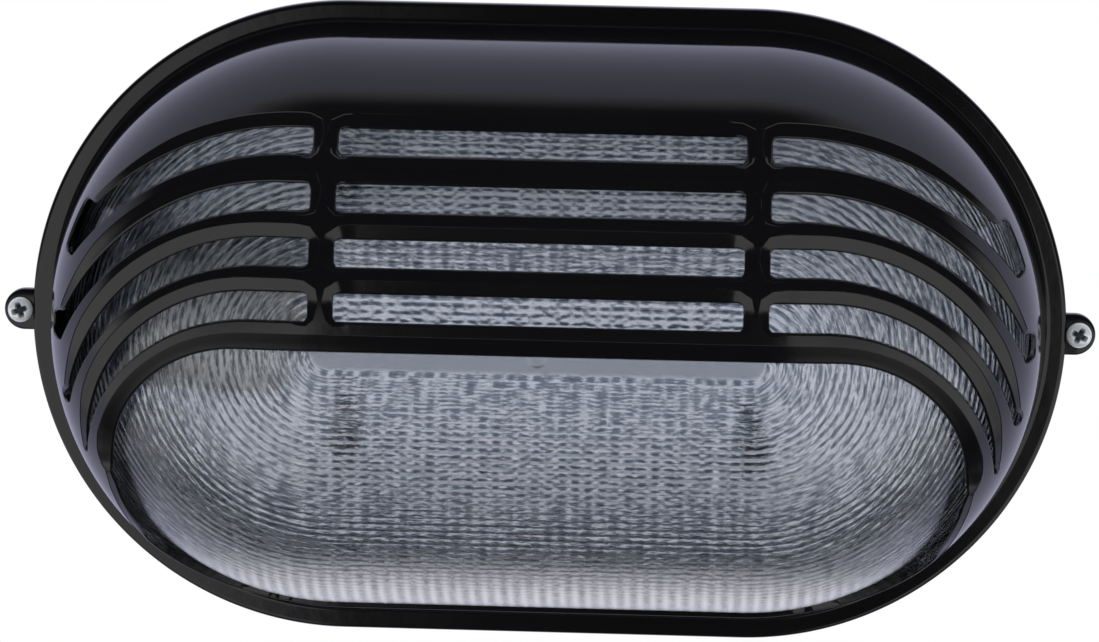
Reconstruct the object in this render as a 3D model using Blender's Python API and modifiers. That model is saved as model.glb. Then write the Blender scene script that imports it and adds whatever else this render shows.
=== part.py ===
"""Oval bulkhead wall lamp with an eyelid cover, for Blender 4.5.

Metres, +Z up. The wall is the plane y = 0 and the lamp stands out from it towards -Y, so a depth d in
front of the wall is y = -d. X runs to the right as one faces the lamp. The origin is the middle of the
flat back. Each oval is a straight of 2 * HALF_STRAIGHT with a half circle at each end.
"""
import math

import bmesh
import bpy
from mathutils import Matrix, Vector

SEAT_GAP = 0.0003            # between pieces that touch
CUT_PAST = 0.0040            # how far a cutter runs past what it cuts
MERGE = 0.0001               # distance at which mirrored and turned seams are welded

# The oval and its stack of depths, from the wall outwards
HALF_STRAIGHT = 0.0524
RIM_RADIUS = 0.0830
ARC_STEPS = 16               # facets in each half circle

# Base housing
BASE_DEPTH = 0.036
BACK_THICKNESS = 0.0028
BASE_WALL_INSET = 0.0060     # from the rim
BASE_WALL = 0.0032
BASE_DRAFT = 0.0008          # how much the wall narrows towards the back
BASE_FLANGE_INSET = 0.0008   # behind the cover's rim
BASE_FLANGE_DEPTH = 0.0070
REBATE_INSET = 0.0037        # from the rim
REBATE_DEPTH = 0.0030
WALL_HOLE_X = 0.0545
WALL_HOLE_Z = 0.0330
WALL_HOLE_RADIUS = 0.0026

# Ears and their screws
EAR_RADIUS = 0.0054
EAR_OUTSET = 0.0023          # centre of the cover ear's round, outside the rim
BASE_EAR_RADIUS = 0.0039
BASE_EAR_OUTSET = 0.0030
EAR_SCREW_OUTSET = 0.0033    # centre of the screw, outside the rim
EAR_DEPTH = 0.0065           # of the base's ear
EAR_STEPS = 8                # facets in an ear's half round
EAR_SETBACK = 0.0011         # of the cover ear's face behind the rim's
EAR_RELIEF = 0.0003          # of an ear's mating face behind its flange's
CASTING_OVERLAP = 0.0014     # how far an added form reaches into the casting it joins
COVER_SCREW_RADIUS = 0.00172
COVER_SCREW_LENGTH = 0.0086
COVER_SCREW_HEAD_RADIUS = 0.0033
COVER_SCREW_HEAD_HEIGHT = 0.0024
CROSS_WIDTH = 0.00095
CROSS_SPAN = 0.0042
CROSS_DEPTH = 0.00145
CROSS_TURN = math.radians(20)
SCREW_CLEARANCE = 0.00023
EAR_HOLE_DEPTH = 0.0053

# Gasket and glass
GASKET_WIDTH = 0.0044
GASKET_THICKNESS = 0.0020
GLASS_FLANGE_THICKNESS = 0.0030
GLASS_EDGE_CLEARANCE = 0.0005
GLASS_WALL = 0.0035
GLASS_SIDE_GAP = 0.0012      # to the inside of the cover
GLASS_FRONT_GAP = 0.0022
GLASS_DRAFT = 0.0008
RIB_COUNT = 16
RIB_HEIGHT = 0.0008
SMOOTH_STRIP = 0.0040        # half width of the plain strip along the glass's front
NUB_RADIUS = 0.0023
NUB_HEIGHT = 0.0005

# Cover
COVER_PLATE = 0.0021         # of the rim over the glass flange
RECESS_CLEARANCE = 0.0001    # of the glass recess, wider than the rebate
COVER_WALL = 0.0022
WALL_BASE_INSET = 0.0052     # from the rim to the foot of the wall
WALL_HEIGHT = 0.0080
WALL_DRAFT = 0.0020          # how much the wall narrows towards the dome
DOME_DEPTH = 0.0600
DOME_POWER = 2.45            # of the superellipse that the dome's section follows
DOME_STEPS = 11
EDGE_CHAMFER = 0.0008

# Slots and eyelid opening, as seen from the front
SLOT_COUNT = 4
SLOT_TOP_SHARE = 0.740       # of the dome's radius, as the other shares below
SLOT_PITCH_SHARE = 0.178
SLOT_HEIGHT_SHARE = 0.0937
SLOT_END_INSET = 0.0040      # of the oval that the slots stop at, from the dome
SLOT_CORNER = 0.0010
SLOT_ROUND_INSET = 0.0018    # of the edges' last points, so that the round end stays inside that oval
SLOT_BEND_STEPS = 7
SLOT_END_STEPS = 6
BAR_OUTSET = 0.0013          # of a bar's middle from the end of the straight
BAR_WIDTH = 0.0064
BEND_START_TOP_SHARE = 0.1135  # where the top slot starts to bend down, beyond the straight
BEND_START_EYE_SHARE = 0.290
BEND_TOP_SHARE = 0.963       # of the bends' radii
BEND_EYE_SHARE = 0.458
EYE_TOP_SHARE = 0.0115
EYE_STEPS = 9                # facets in each bent upper corner
EYE_LIP = 0.0055             # of the opening's bottom edge above the rim
EYE_LIP_OUTSET = 0.0010      # where the slope starts, outside the dome
EYE_KNEE_SHARE = 0.512       # of the place below the middle where the opening's slope steepens
EYE_KNEE_HEIGHT = 0.0415
EYE_TOP_HEIGHT = 0.0604

# Reflector
REFLECTOR_SHEET = 0.0008
REFLECTOR_FLOOR_INSET = 0.0146  # from its rim
REFLECTOR_KNEE_INSET = 0.0102
REFLECTOR_KNEE_RISE = 0.0018 # of the knee in front of the floor
REFLECTOR_RIM_INSET = 0.0116    # from the lamp's rim
REFLECTOR_RIM_SETBACK = 0.0050  # behind the base's front
REFLECTOR_BLOCK_GAP = 0.0014    # between its floor and the terminal block
REFLECTOR_HOLE_RADIUS = 0.0045
POST_HOLDER_GAP = 0.0419        # of the left post from the lampholder's rear
POST_RIM_INSET = 0.0474         # of the right post from the rim
REFLECTOR_SCREW_LENGTH = 0.0072
POST_RADIUS = 0.0040
POST_HOLE_DEPTH = 0.0090
CUT_OUT_CLEARANCE = 0.0020   # round the bracket and the wires, where they pass the reflector

# Small screws, by shank radius, and their heads
SMALL_SHANK = 0.00135
SMALL_HEAD = 0.0027
SMALL_HEAD_HEIGHT = 0.0019
SMALL_HOLE_CLEARANCE = 0.0003
SMALL_HOLE_STEPS = 10
PAN_HEAD = ((0.0, 1.0), (0.55, 0.97), (0.86, 0.72), (1.0, 0.30), (0.97, 0.0))  # shares of radius and height
SCREW_TIP = 0.5              # the tip's radius and length, as a share of the shank's radius

# Lampholder, its axis along X
HOLDER_AXIS_DEPTH = 0.0500
HOLDER_RIM_INSET = 0.0315    # of its rear from the lamp's rim
HOLDER_LENGTH = 0.0380
HOLDER_SKIRT_RADIUS = 0.0190
HOLDER_NECK_RADIUS = 0.0170
HOLDER_NECK_LENGTH = 0.0140
HOLDER_SHOULDER = 0.0021     # length of the slope from neck to skirt
SOCKET_RADIUS = 0.0148
SOCKET_DEPTH = 0.0285
REAR_RECESS_RADIUS = 0.0090
REAR_RECESS_DEPTH = 0.0060
SHELL_WALL = 0.0005
SHELL_LENGTH = 0.0255
SHELL_THREAD_DEPTH = 0.0006
SHELL_THREADS = 6
CONTACT_RADIUS = 0.0040
CONTACT_HEIGHT = 0.0026
CONTACT_SECTION = ((0.0, 1.0), (0.45, 0.9), (0.70, 0.4), (1.0, 0.3), (1.0, 0.0), (0.0, 0.0))  # shares of both
HOLDER_SCREW_Z = 0.0125
HOLDER_SCREW_LENGTH = 0.0070

# Bracket that carries the lampholder
BRACKET_SHEET = 0.0015
BRACKET_WIDTH = 0.0320
BRACKET_FOOT_LENGTH = 0.0225
BRACKET_TOP_DEPTH = 0.0640
BRACKET_BEND = 0.0020
BRACKET_BOSS_HEIGHT = 0.0020
BRACKET_BOSS_RADIUS = 0.0042
BRACKET_SCREW_INSET = (0.0059, 0.0159)  # from the lampholder's rear

# Terminal block
BLOCK_X = -0.0360
BLOCK_LENGTH = 0.0170
BLOCK_WIDTH = 0.0220
BLOCK_HEIGHT = 0.0095
BLOCK_BOSS_HEIGHT = 0.0020
BLOCK_BOSS_RADIUS = 0.0050
BLOCK_EDGE = 0.0008
POLE_Z = 0.0055
POLE_HEIGHT = 0.0042         # of the clamps' axes above the block's foot
CLAMP_RADIUS = 0.0026
CLAMP_BORE = 0.0016
CLAMP_LENGTH = 0.0150
TERMINAL_SCREW_X = 0.0042    # either side of the block's middle
TERMINAL_SHANK = 0.00115
TERMINAL_HEAD = 0.0016
TERMINAL_HEAD_HEIGHT = 0.0014
BLOCK_SCREW_SINK = 0.0021

# Earth terminal
EARTH_X = -0.0250
EARTH_Z = 0.0240
EARTH_BOSS_HEIGHT = 0.0040
EARTH_BOSS_RADIUS = 0.0048
EARTH_SHANK = 0.0018
EARTH_HEAD = 0.0037
EARTH_HEAD_HEIGHT = 0.0024
EARTH_WASHER_RADIUS = 0.0045
EARTH_WASHER_THICKNESS = 0.0010

# Wires and rear cable inlet
WIRE_RADIUS = 0.0010
WIRE_LEVEL = 0.0090          # depth at which the wires run along the base
WIRE_SPREAD = 0.0080         # of a wire from the middle, along the base
WIRE_LEAD = 0.0080           # straight out of the clamp
WIRE_SLOPE = 0.0120          # length in which it sinks to the base
WIRE_RISE_SPREAD = 0.0072    # of a wire from the middle, where it turns up to the lampholder
WIRE_END = 0.0072            # of its end behind the lampholder's axis
WIRE_ENTRY_Z = 0.0040
WIRE_STEPS = 4               # points between two route points
INLET_X = 0.0250
INLET_RADIUS = 0.0080
GROMMET_FLANGE_RADIUS = 0.0105
GROMMET_FLANGE = 0.0020
GROMMET_SLEEVE = 0.0040
GROMMET_BORE = 0.0035
GROMMET_LIP = 0.0049         # radius of the sleeve's front

# Worked out from the sizes above
BASE_WALL_RADIUS = RIM_RADIUS - BASE_WALL_INSET
REBATE_RADIUS = RIM_RADIUS - REBATE_INSET
WALL_BASE_RADIUS = RIM_RADIUS - WALL_BASE_INSET
DOME_RADIUS = WALL_BASE_RADIUS - WALL_DRAFT
SLOT_TOP_Z = DOME_RADIUS * SLOT_TOP_SHARE
SLOT_PITCH = DOME_RADIUS * SLOT_PITCH_SHARE
SLOT_HEIGHT = DOME_RADIUS * SLOT_HEIGHT_SHARE
SLOT_END_RADIUS = DOME_RADIUS - SLOT_END_INSET
EYE_TOP_Z = DOME_RADIUS * EYE_TOP_SHARE
EYE_KNEE_Z = -DOME_RADIUS * EYE_KNEE_SHARE
EYE_LIP_Z = -(DOME_RADIUS + EYE_LIP_OUTSET)
BAR_X = HALF_STRAIGHT + BAR_OUTSET
BEND_X_TOP = HALF_STRAIGHT + DOME_RADIUS * BEND_START_TOP_SHARE
BEND_X_EYE = HALF_STRAIGHT + DOME_RADIUS * BEND_START_EYE_SHARE
BEND_RADIUS_TOP = DOME_RADIUS * BEND_TOP_SHARE
BEND_RADIUS_EYE = DOME_RADIUS * BEND_EYE_SHARE
REFLECTOR_RIM_RADIUS = RIM_RADIUS - REFLECTOR_RIM_INSET
REFLECTOR_FLOOR_RADIUS = REFLECTOR_RIM_RADIUS - REFLECTOR_FLOOR_INSET
REFLECTOR_KNEE_RADIUS = REFLECTOR_RIM_RADIUS - REFLECTOR_KNEE_INSET
REFLECTOR_RIM_DEPTH = BASE_DEPTH - REFLECTOR_RIM_SETBACK
HOLDER_REAR_X = -(HALF_STRAIGHT + RIM_RADIUS - HOLDER_RIM_INSET)
REFLECTOR_POST_X = (HOLDER_REAR_X + POST_HOLDER_GAP, HALF_STRAIGHT + RIM_RADIUS - POST_RIM_INSET)
BRACKET_SCREW_X = tuple(HOLDER_REAR_X + inset for inset in BRACKET_SCREW_INSET)
GASKET_BACK = BASE_DEPTH - REBATE_DEPTH + SEAT_GAP
GLASS_BACK = GASKET_BACK + GASKET_THICKNESS + SEAT_GAP
GLASS_SEAT = GLASS_BACK + GLASS_FLANGE_THICKNESS
COVER_BACK = BASE_DEPTH + SEAT_GAP
COVER_SEAT = GLASS_SEAT + SEAT_GAP
RIM_FRONT = COVER_SEAT + COVER_PLATE
DOME_FOOT = RIM_FRONT + WALL_HEIGHT
EAR_FRONT = RIM_FRONT - EAR_SETBACK
RIM_END_X = HALF_STRAIGHT + RIM_RADIUS
EAR_SCREW_X = RIM_END_X + EAR_SCREW_OUTSET
COVER_HEAD_SEAT = EAR_FRONT + SEAT_GAP
LEG_FRONT_X = HOLDER_REAR_X - SEAT_GAP
LEG_REAR_X = LEG_FRONT_X - BRACKET_SHEET
FOOT_BACK = BACK_THICKNESS + BRACKET_BOSS_HEIGHT + SEAT_GAP
FOOT_FRONT = FOOT_BACK + BRACKET_SHEET
BLOCK_BACK = BACK_THICKNESS + BLOCK_BOSS_HEIGHT + SEAT_GAP
BLOCK_FRONT = BLOCK_BACK + BLOCK_HEIGHT
POLE_DEPTH = BLOCK_BACK + POLE_HEIGHT
EARTH_FACE = BACK_THICKNESS + EARTH_BOSS_HEIGHT
REFLECTOR_DEPTH = BLOCK_FRONT + REFLECTOR_BLOCK_GAP
REFLECTOR_FRONT = REFLECTOR_DEPTH + REFLECTOR_SHEET
WIRE_RISE_X = HOLDER_REAR_X + REAR_RECESS_DEPTH / 2


def clear_scene():
    for item in list(bpy.data.objects):
        bpy.data.objects.remove(item, do_unlink=True)


def new_collection(name):
    group = bpy.data.collections.new(name)
    bpy.context.scene.collection.children.link(group)
    return group


clear_scene()
PARTS = new_collection("wall_lamp")
CUTTERS = new_collection("cutters")


def material(name, colour, roughness, metallic, alpha=1.0):
    """A Principled material of one plain colour."""
    made = bpy.data.materials.new(name)
    made.use_nodes = True
    shader = made.node_tree.nodes["Principled BSDF"]
    shader.inputs["Base Color"].default_value = (*colour, 1.0)
    shader.inputs["Roughness"].default_value = roughness
    shader.inputs["Metallic"].default_value = metallic
    shader.inputs["Alpha"].default_value = alpha
    return made


BLACK_PAINT = material("black_paint", (0.012, 0.012, 0.014), 0.12, 0.0)
COVER_PAINT = material("cover_paint", (0.012, 0.012, 0.014), 0.12, 0.0)
CLEAR_GLASS = material("clear_glass", (0.80, 0.86, 0.90), 0.05, 0.0, 0.35)
RUBBER = material("rubber", (0.03, 0.03, 0.03), 0.8, 0.0)
BRIGHT_ALUMINIUM = material("bright_aluminium", (0.86, 0.87, 0.88), 0.25, 1.0)
ZINC = material("zinc_plate", (0.72, 0.74, 0.76), 0.3, 1.0)
CERAMIC = material("ceramic", (0.90, 0.89, 0.86), 0.25, 0.0)
BRASS = material("brass", (0.78, 0.57, 0.28), 0.3, 1.0)
BLOCK_PLASTIC = material("block_plastic", (0.88, 0.87, 0.82), 0.5, 0.0)
BROWN_PVC = material("brown_pvc", (0.20, 0.09, 0.04), 0.5, 0.0)
BLUE_PVC = material("blue_pvc", (0.04, 0.16, 0.45), 0.5, 0.0)


def add(name, mesh, paint, group=None):
    """Make an object of a mesh; with no paint it is a cutter."""
    made = bpy.data.objects.new(name, mesh)
    (group or (PARTS if paint else CUTTERS)).objects.link(made)
    if paint:
        mesh.materials.append(paint)
        mesh.shade_smooth()
        mesh.set_sharp_from_angle(angle=math.radians(32))
    else:
        made.hide_render = True
        made.display_type = "WIRE"
    return made


def mesh_of(bm, name):
    """Weld a bmesh, turn its faces outwards and hand it over as a mesh."""
    bmesh.ops.remove_doubles(bm, verts=bm.verts, dist=MERGE / 100)
    bmesh.ops.recalc_face_normals(bm, faces=bm.faces)
    mesh = bpy.data.meshes.new(name)
    bm.to_mesh(mesh)
    bm.free()
    return mesh


def boolean(target, cutter, operation):
    change = target.modifiers.new(cutter.name, "BOOLEAN")
    change.operation = operation
    change.object = cutter
    change.solver = "EXACT"
    return target


def joined(name, pieces):
    """Join several closed cutters, which don't touch, into one object."""
    bm = bmesh.new()
    for piece in pieces:
        mesh = piece.data.copy()
        mesh.transform(piece.matrix_basis)
        bm.from_mesh(mesh)
        bpy.data.meshes.remove(mesh)
        bpy.data.objects.remove(piece, do_unlink=True)
    mesh = bpy.data.meshes.new(name)
    bm.to_mesh(mesh)
    bm.free()
    return add(name, mesh, None)


def carried(bm, edges, distance):
    """Extrude edges along X and return the far ones."""
    made = bmesh.ops.extrude_edge_only(bm, edges=edges)["geom"]
    verts = [item for item in made if isinstance(item, bmesh.types.BMVert)]
    bmesh.ops.translate(bm, vec=(distance, 0, 0), verts=verts)
    return [item for item in made
            if isinstance(item, bmesh.types.BMEdge) and all(vert in verts for vert in item.verts)]


def oval_half(bm, outline, closed=False):
    """Sweep an outline of (radius, depth) points along the right half of the oval.

    It runs along the bottom straight, spins half a turn and runs back along the top straight, and is left
    open at x = 0 for the mirror.
    """
    verts = [bm.verts.new((0, -depth, -radius)) for radius, depth in outline]
    pairs = list(zip(verts, verts[1:]))
    if closed:
        pairs.append((verts[-1], verts[0]))
    edges = [bm.edges.new(pair) for pair in pairs]
    edges = carried(bm, edges, HALF_STRAIGHT)
    verts = list(dict.fromkeys(vert for edge in edges for vert in edge.verts))
    last = bmesh.ops.spin(bm, geom=verts + edges, cent=(HALF_STRAIGHT, 0, 0), axis=(0, -1, 0), angle=math.pi,
                          steps=ARC_STEPS)["geom_last"]
    carried(bm, [item for item in last if isinstance(item, bmesh.types.BMEdge)], -HALF_STRAIGHT)


def oval(name, outline, paint, closed=False):
    """An oval piece: half of it swept and mirrored at x = 0. An open outline starts and ends at radius 0."""
    bm = bmesh.new()
    oval_half(bm, outline, closed)
    made = add(name, mesh_of(bm, name), paint)
    mirror = made.modifiers.new("mirror", "MIRROR")
    mirror.merge_threshold = MERGE
    return made


def rod(name, radius, start, end, paint=None, segments=16):
    """A cylinder from one point to another."""
    start, end = Vector(start), Vector(end)
    along = end - start
    turn = along.to_track_quat("Z", "Y").to_matrix().to_4x4() @ Matrix.Rotation(math.pi / segments, 4, "Z")
    bm = bmesh.new()
    bmesh.ops.create_cone(bm, cap_ends=True, segments=segments, radius1=radius, radius2=radius,
                          depth=along.length, matrix=Matrix.Translation((start + end) / 2) @ turn)
    return add(name, mesh_of(bm, name), paint)


def block(name, low, high, paint=None):
    """A box between two corners."""
    low, high = Vector(low), Vector(high)
    size = high - low
    bm = bmesh.new()
    placed = Matrix.Translation((low + high) / 2) @ Matrix.Diagonal((*size, 1))
    bmesh.ops.create_cube(bm, size=1.0, matrix=placed)
    return add(name, mesh_of(bm, name), paint)


def plate(name, outline, start, end, side=False, paint=None):
    """A flat outline given a thickness.

    The outline holds (x, z) points and the plate runs in depth from start to end; with side, it holds
    (depth, z) points and the plate runs along X.
    """
    curve = bpy.data.curves.new(name, "CURVE")
    curve.dimensions = "2D"
    curve.fill_mode = "BOTH"
    curve.extrude = abs(end - start) / 2
    spline = curve.splines.new("POLY")
    spline.points.add(len(outline) - 1)
    for point, (across, up) in zip(spline.points, outline):
        point.co = (across, up, 0, 1)
    spline.use_cyclic_u = True
    drawn = bpy.data.objects.new(name + "_drawn", curve)
    CUTTERS.objects.link(drawn)
    middle = (start + end) / 2
    upright = Matrix.Rotation(math.pi / 2, 4, "X")
    if side:
        turn = Matrix.Rotation(-math.pi / 2, 4, "Z")
        drawn.matrix_world = Matrix.Translation((middle, 0, 0)) @ turn @ upright
    else:
        drawn.matrix_world = Matrix.Translation((0, -middle, 0)) @ upright
    bpy.context.view_layer.update()
    mesh = bpy.data.meshes.new_from_object(drawn.evaluated_get(bpy.context.evaluated_depsgraph_get()))
    mesh.transform(drawn.matrix_world)
    bpy.data.objects.remove(drawn, do_unlink=True)
    bm = bmesh.new()
    bm.from_mesh(mesh)
    bpy.data.meshes.remove(mesh)
    return add(name, mesh_of(bm, name), paint)


def turned(name, outline, place, along, paint, steps=16):
    """A turned piece: (radius, height) points down its outside, spun about the direction named along."""
    mesh = bpy.data.meshes.new(name)
    mesh.from_pydata([(radius, 0, height) for radius, height in outline],
                     [(i, i + 1) for i in range(len(outline) - 1)], [])
    made = add(name, mesh, paint)
    spin = made.modifiers.new("turn", "SCREW")
    spin.axis = "Z"
    spin.steps = steps
    spin.render_steps = steps
    spin.use_merge_vertices = True
    spin.merge_threshold = MERGE / 2
    spin.use_smooth_shade = True
    made.location = place
    made.rotation_mode = "QUATERNION"
    made.rotation_quaternion = Vector(along).to_track_quat("Z", "Y")
    return made


def dome(radius, depth, foot, steps=DOME_STEPS):
    """Points of a superellipse section, from the middle of the front to its foot."""
    points = []
    for i in range(steps + 1):
        angle = i / steps * math.pi / 2
        out = radius * math.sin(angle) ** (2 / DOME_POWER)
        forward = depth * max(0.0, math.cos(angle)) ** (2 / DOME_POWER)
        points.append((out, foot + forward))
    points[-1] = (radius, foot)
    return points


def ear_outline(side, root_radius, radius, outset):
    """A half-round ear, from inside the casting's end (of the root's radius) outwards."""
    root = HALF_STRAIGHT + root_radius
    centre = RIM_END_X + outset
    points = [(side * root, -radius)]
    for i in range(EAR_STEPS + 1):
        angle = -math.pi / 2 + i / EAR_STEPS * math.pi
        points.append((side * (centre + radius * math.cos(angle)), radius * math.sin(angle)))
    points.append((side * root, radius))
    return points


def ears(name, root_radius, radius, outset, back, front):
    """Both ears as one addition."""
    return joined(name, [plate(name + str(side), ear_outline(side, root_radius, radius, outset), back, front)
                         for side in (-1, 1)])


def depth_holes(name, radius, places, back, front, segments=16):
    """Round cutters along the depth, at (x, z) places."""
    return joined(name, [rod(name + str(i), radius, (x, -back, z), (x, -front, z), segments=segments)
                         for i, (x, z) in enumerate(places)])


def small_hole(name, start, end):
    """Clearance hole of a small screw, from one point to another."""
    return rod(name, SMALL_SHANK + SMALL_HOLE_CLEARANCE, start, end, segments=SMALL_HOLE_STEPS)


def wall_hole_places():
    """(x, z) of the four holes for the wall screws."""
    return [(x, z) for x in (-WALL_HOLE_X, WALL_HOLE_X) for z in (-WALL_HOLE_Z, WALL_HOLE_Z)]


def base_ears(inner):
    """The base's two ears: they reach into the wall, and into the flange above the rebate's floor."""
    made = ears("base_ears", inner + CASTING_OVERLAP, BASE_EAR_RADIUS, BASE_EAR_OUTSET,
                BASE_DEPTH - EAR_DEPTH, BASE_DEPTH - EAR_RELIEF)
    room = REBATE_RADIUS + CASTING_OVERLAP
    over = BASE_DEPTH + WALL_HEIGHT
    floor = BASE_DEPTH - REBATE_DEPTH - CASTING_OVERLAP / 2
    rebate = oval("rebate_room", [(0, over), (room, over), (room, floor), (0, floor)], None)
    return boolean(made, rebate, "DIFFERENCE")


def base_housing():
    """Cast dish: flat back, drafted wall, outward flange with a rebate, two ears and its bosses."""
    flange = RIM_RADIUS - BASE_FLANGE_INSET
    step = BASE_DEPTH - BASE_FLANGE_DEPTH
    back = BASE_WALL_RADIUS - BASE_DRAFT
    inner = BASE_WALL_RADIUS - BASE_WALL
    floor = BACK_THICKNESS
    shape = oval("base_housing", [
        (0, floor), (inner - BASE_DRAFT - EDGE_CHAMFER, floor), (inner - BASE_DRAFT, floor + EDGE_CHAMFER),
        (inner, BASE_DEPTH - REBATE_DEPTH), (REBATE_RADIUS, BASE_DEPTH - REBATE_DEPTH),
        (REBATE_RADIUS, BASE_DEPTH),
        (flange, BASE_DEPTH), (flange, step + EDGE_CHAMFER), (flange - EDGE_CHAMFER, step),
        (BASE_WALL_RADIUS, step - (flange - BASE_WALL_RADIUS) / 2), (back, EDGE_CHAMFER),
        (back - EDGE_CHAMFER, 0), (0, 0)], BLACK_PAINT)
    boolean(shape, base_ears(inner), "UNION")
    root = floor / 2
    past = floor + CUT_PAST
    bosses = [rod("post" + str(i), POST_RADIUS, (x, -root, 0), (x, -(REFLECTOR_DEPTH - SEAT_GAP), 0))
              for i, x in enumerate(REFLECTOR_POST_X)]
    foot = floor + BRACKET_BOSS_HEIGHT
    bosses += [rod("foot_boss" + str(i), BRACKET_BOSS_RADIUS, (x, -root, 0), (x, -foot, 0))
               for i, x in enumerate(BRACKET_SCREW_X)]
    stand = floor + BLOCK_BOSS_HEIGHT
    bosses.append(rod("block_boss", BLOCK_BOSS_RADIUS, (BLOCK_X, -root, 0), (BLOCK_X, -stand, 0)))
    bosses.append(rod("earth_boss", EARTH_BOSS_RADIUS, (EARTH_X, -root, EARTH_Z),
                      (EARTH_X, -EARTH_FACE, EARTH_Z)))
    boolean(shape, joined("base_bosses", bosses), "UNION")
    holes = [rod("wall_hole" + str(i), WALL_HOLE_RADIUS, (x, SEAT_GAP, z), (x, -past, z))
             for i, (x, z) in enumerate(wall_hole_places())]
    bottom = REFLECTOR_DEPTH - POST_HOLE_DEPTH
    holes += [small_hole("post_hole" + str(i), (x, -bottom, 0), (x, -REFLECTOR_FRONT, 0))
              for i, x in enumerate(REFLECTOR_POST_X)]
    holes += [small_hole("foot_hole" + str(i), (x, -root, 0), (x, -FOOT_FRONT, 0))
              for i, x in enumerate(BRACKET_SCREW_X)]
    holes.append(small_hole("block_hole", (BLOCK_X, -root, 0), (BLOCK_X, -BLOCK_FRONT, 0)))
    holes.append(rod("earth_hole", EARTH_SHANK + SMALL_HOLE_CLEARANCE, (EARTH_X, -root, EARTH_Z),
                     (EARTH_X, -(EARTH_FACE + CUT_PAST), EARTH_Z), segments=12))
    holes.append(rod("inlet_hole", INLET_RADIUS, (INLET_X, SEAT_GAP, 0), (INLET_X, -past, 0), segments=20))
    holes += [rod("ear_hole" + str(side), COVER_SCREW_RADIUS + SCREW_CLEARANCE,
                  (side * EAR_SCREW_X, -(BASE_DEPTH - EAR_HOLE_DEPTH), 0),
                  (side * EAR_SCREW_X, -(BASE_DEPTH + EAR_HOLE_DEPTH), 0)) for side in (-1, 1)]
    return boolean(shape, joined("base_holes", holes), "DIFFERENCE")


def base_gasket():
    """Flat rubber ring in the base's rebate."""
    outer = REBATE_RADIUS - SEAT_GAP
    inner = outer - GASKET_WIDTH
    front = GASKET_BACK + GASKET_THICKNESS
    return oval("base_gasket", [(inner, GASKET_BACK), (outer, GASKET_BACK), (outer, front), (inner, front)],
                RUBBER, closed=True)


def ribbed(section):
    """Put ribs on a section: every second point moves in by the rib's height, outside the plain strip."""
    points = []
    for i, (radius, depth) in enumerate(section):
        inward = RIB_HEIGHT if i % 2 and SMOOTH_STRIP < radius else 0.0
        length = math.hypot(radius, depth - DOME_FOOT)
        share = 1 - inward / length
        points.append((radius * share, DOME_FOOT + (depth - DOME_FOOT) * share))
    return points


def glass():
    """Pressed glass bowl: smooth outside, ribs that run round the oval inside, flat clamping flange."""
    radius = DOME_RADIUS - COVER_WALL - GLASS_SIDE_GAP
    depth = DOME_DEPTH - COVER_WALL - GLASS_FRONT_GAP
    flange = REBATE_RADIUS - GLASS_EDGE_CLEARANCE
    outside = dome(radius, depth, DOME_FOOT)
    inside = ribbed(dome(radius - GLASS_WALL, depth - GLASS_WALL, DOME_FOOT, RIB_COUNT * 2))
    outline = outside + [
        (radius + GLASS_DRAFT, GLASS_SEAT), (flange - EDGE_CHAMFER, GLASS_SEAT),
        (flange, GLASS_SEAT - EDGE_CHAMFER),
        (flange, GLASS_BACK), (radius - GLASS_WALL + GLASS_DRAFT, GLASS_BACK)] + inside[::-1]
    shape = oval("glass", outline, CLEAR_GLASS)
    pole = DOME_FOOT + depth
    nub = rod("nub", NUB_RADIUS, (0, -(pole - GLASS_WALL / 2), 0), (0, -(pole + NUB_HEIGHT), 0))
    return boolean(shape, nub, "UNION")


def bend_at(top_z):
    """Where a slot edge at this height starts to bend, and the bend's radius, from top slot to opening."""
    share = (SLOT_TOP_Z - top_z) / (SLOT_TOP_Z - EYE_TOP_Z)
    start = BEND_X_TOP + share * (BEND_X_EYE - BEND_X_TOP)
    radius = BEND_RADIUS_TOP + share * (BEND_RADIUS_EYE - BEND_RADIUS_TOP)
    return start, radius


def bent_edge(top_z, drop, limit):
    """Points of a slot edge, out along its bend until it meets the oval of radius limit.

    With the bend's centre at (start, c) and the oval's end at (HALF_STRAIGHT, 0), the edge meets the oval
    where their circles cross: the angle follows from the triangle of both radii and the centres' distance.
    """
    start, radius = bend_at(top_z)
    centre_z = top_z - drop - radius
    across = start - HALF_STRAIGHT
    apart = math.hypot(across, centre_z)
    toward = math.atan2(-centre_z, -across)
    cosine = (radius ** 2 + apart ** 2 - limit ** 2) / (2 * radius * apart)
    last = math.pi / 2 - (toward - math.acos(cosine))
    angles = [last * i / SLOT_BEND_STEPS for i in range(SLOT_BEND_STEPS + 1)]
    return [(start + radius * math.sin(angle), centre_z + radius * math.cos(angle)) for angle in angles]


def side_slot(top_z, side):
    """Outline of a slot's outer part: square at the bar, bent down, with a round end."""
    inner = BAR_X + BAR_WIDTH / 2
    limit = SLOT_END_RADIUS - SLOT_ROUND_INSET
    upper = bent_edge(top_z, 0.0, limit)
    lower = bent_edge(top_z, SLOT_HEIGHT, limit)
    middle = (Vector(upper[-1]) + Vector(lower[-1])) / 2
    half = (Vector(upper[-1]) - Vector(lower[-1])) / 2
    ahead = Vector((-half.y, half.x)) * -1
    cap = [tuple(middle + half * math.cos(angle) + ahead * math.sin(angle))
           for angle in (math.pi * i / SLOT_END_STEPS for i in range(1, SLOT_END_STEPS))]
    points = [(inner, top_z - SLOT_CORNER), (inner + SLOT_CORNER, top_z)] + upper + cap + lower[::-1]
    points += [(inner + SLOT_CORNER, top_z - SLOT_HEIGHT), (inner, top_z - SLOT_HEIGHT + SLOT_CORNER)]
    return [(side * x, z) for x, z in points]


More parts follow.
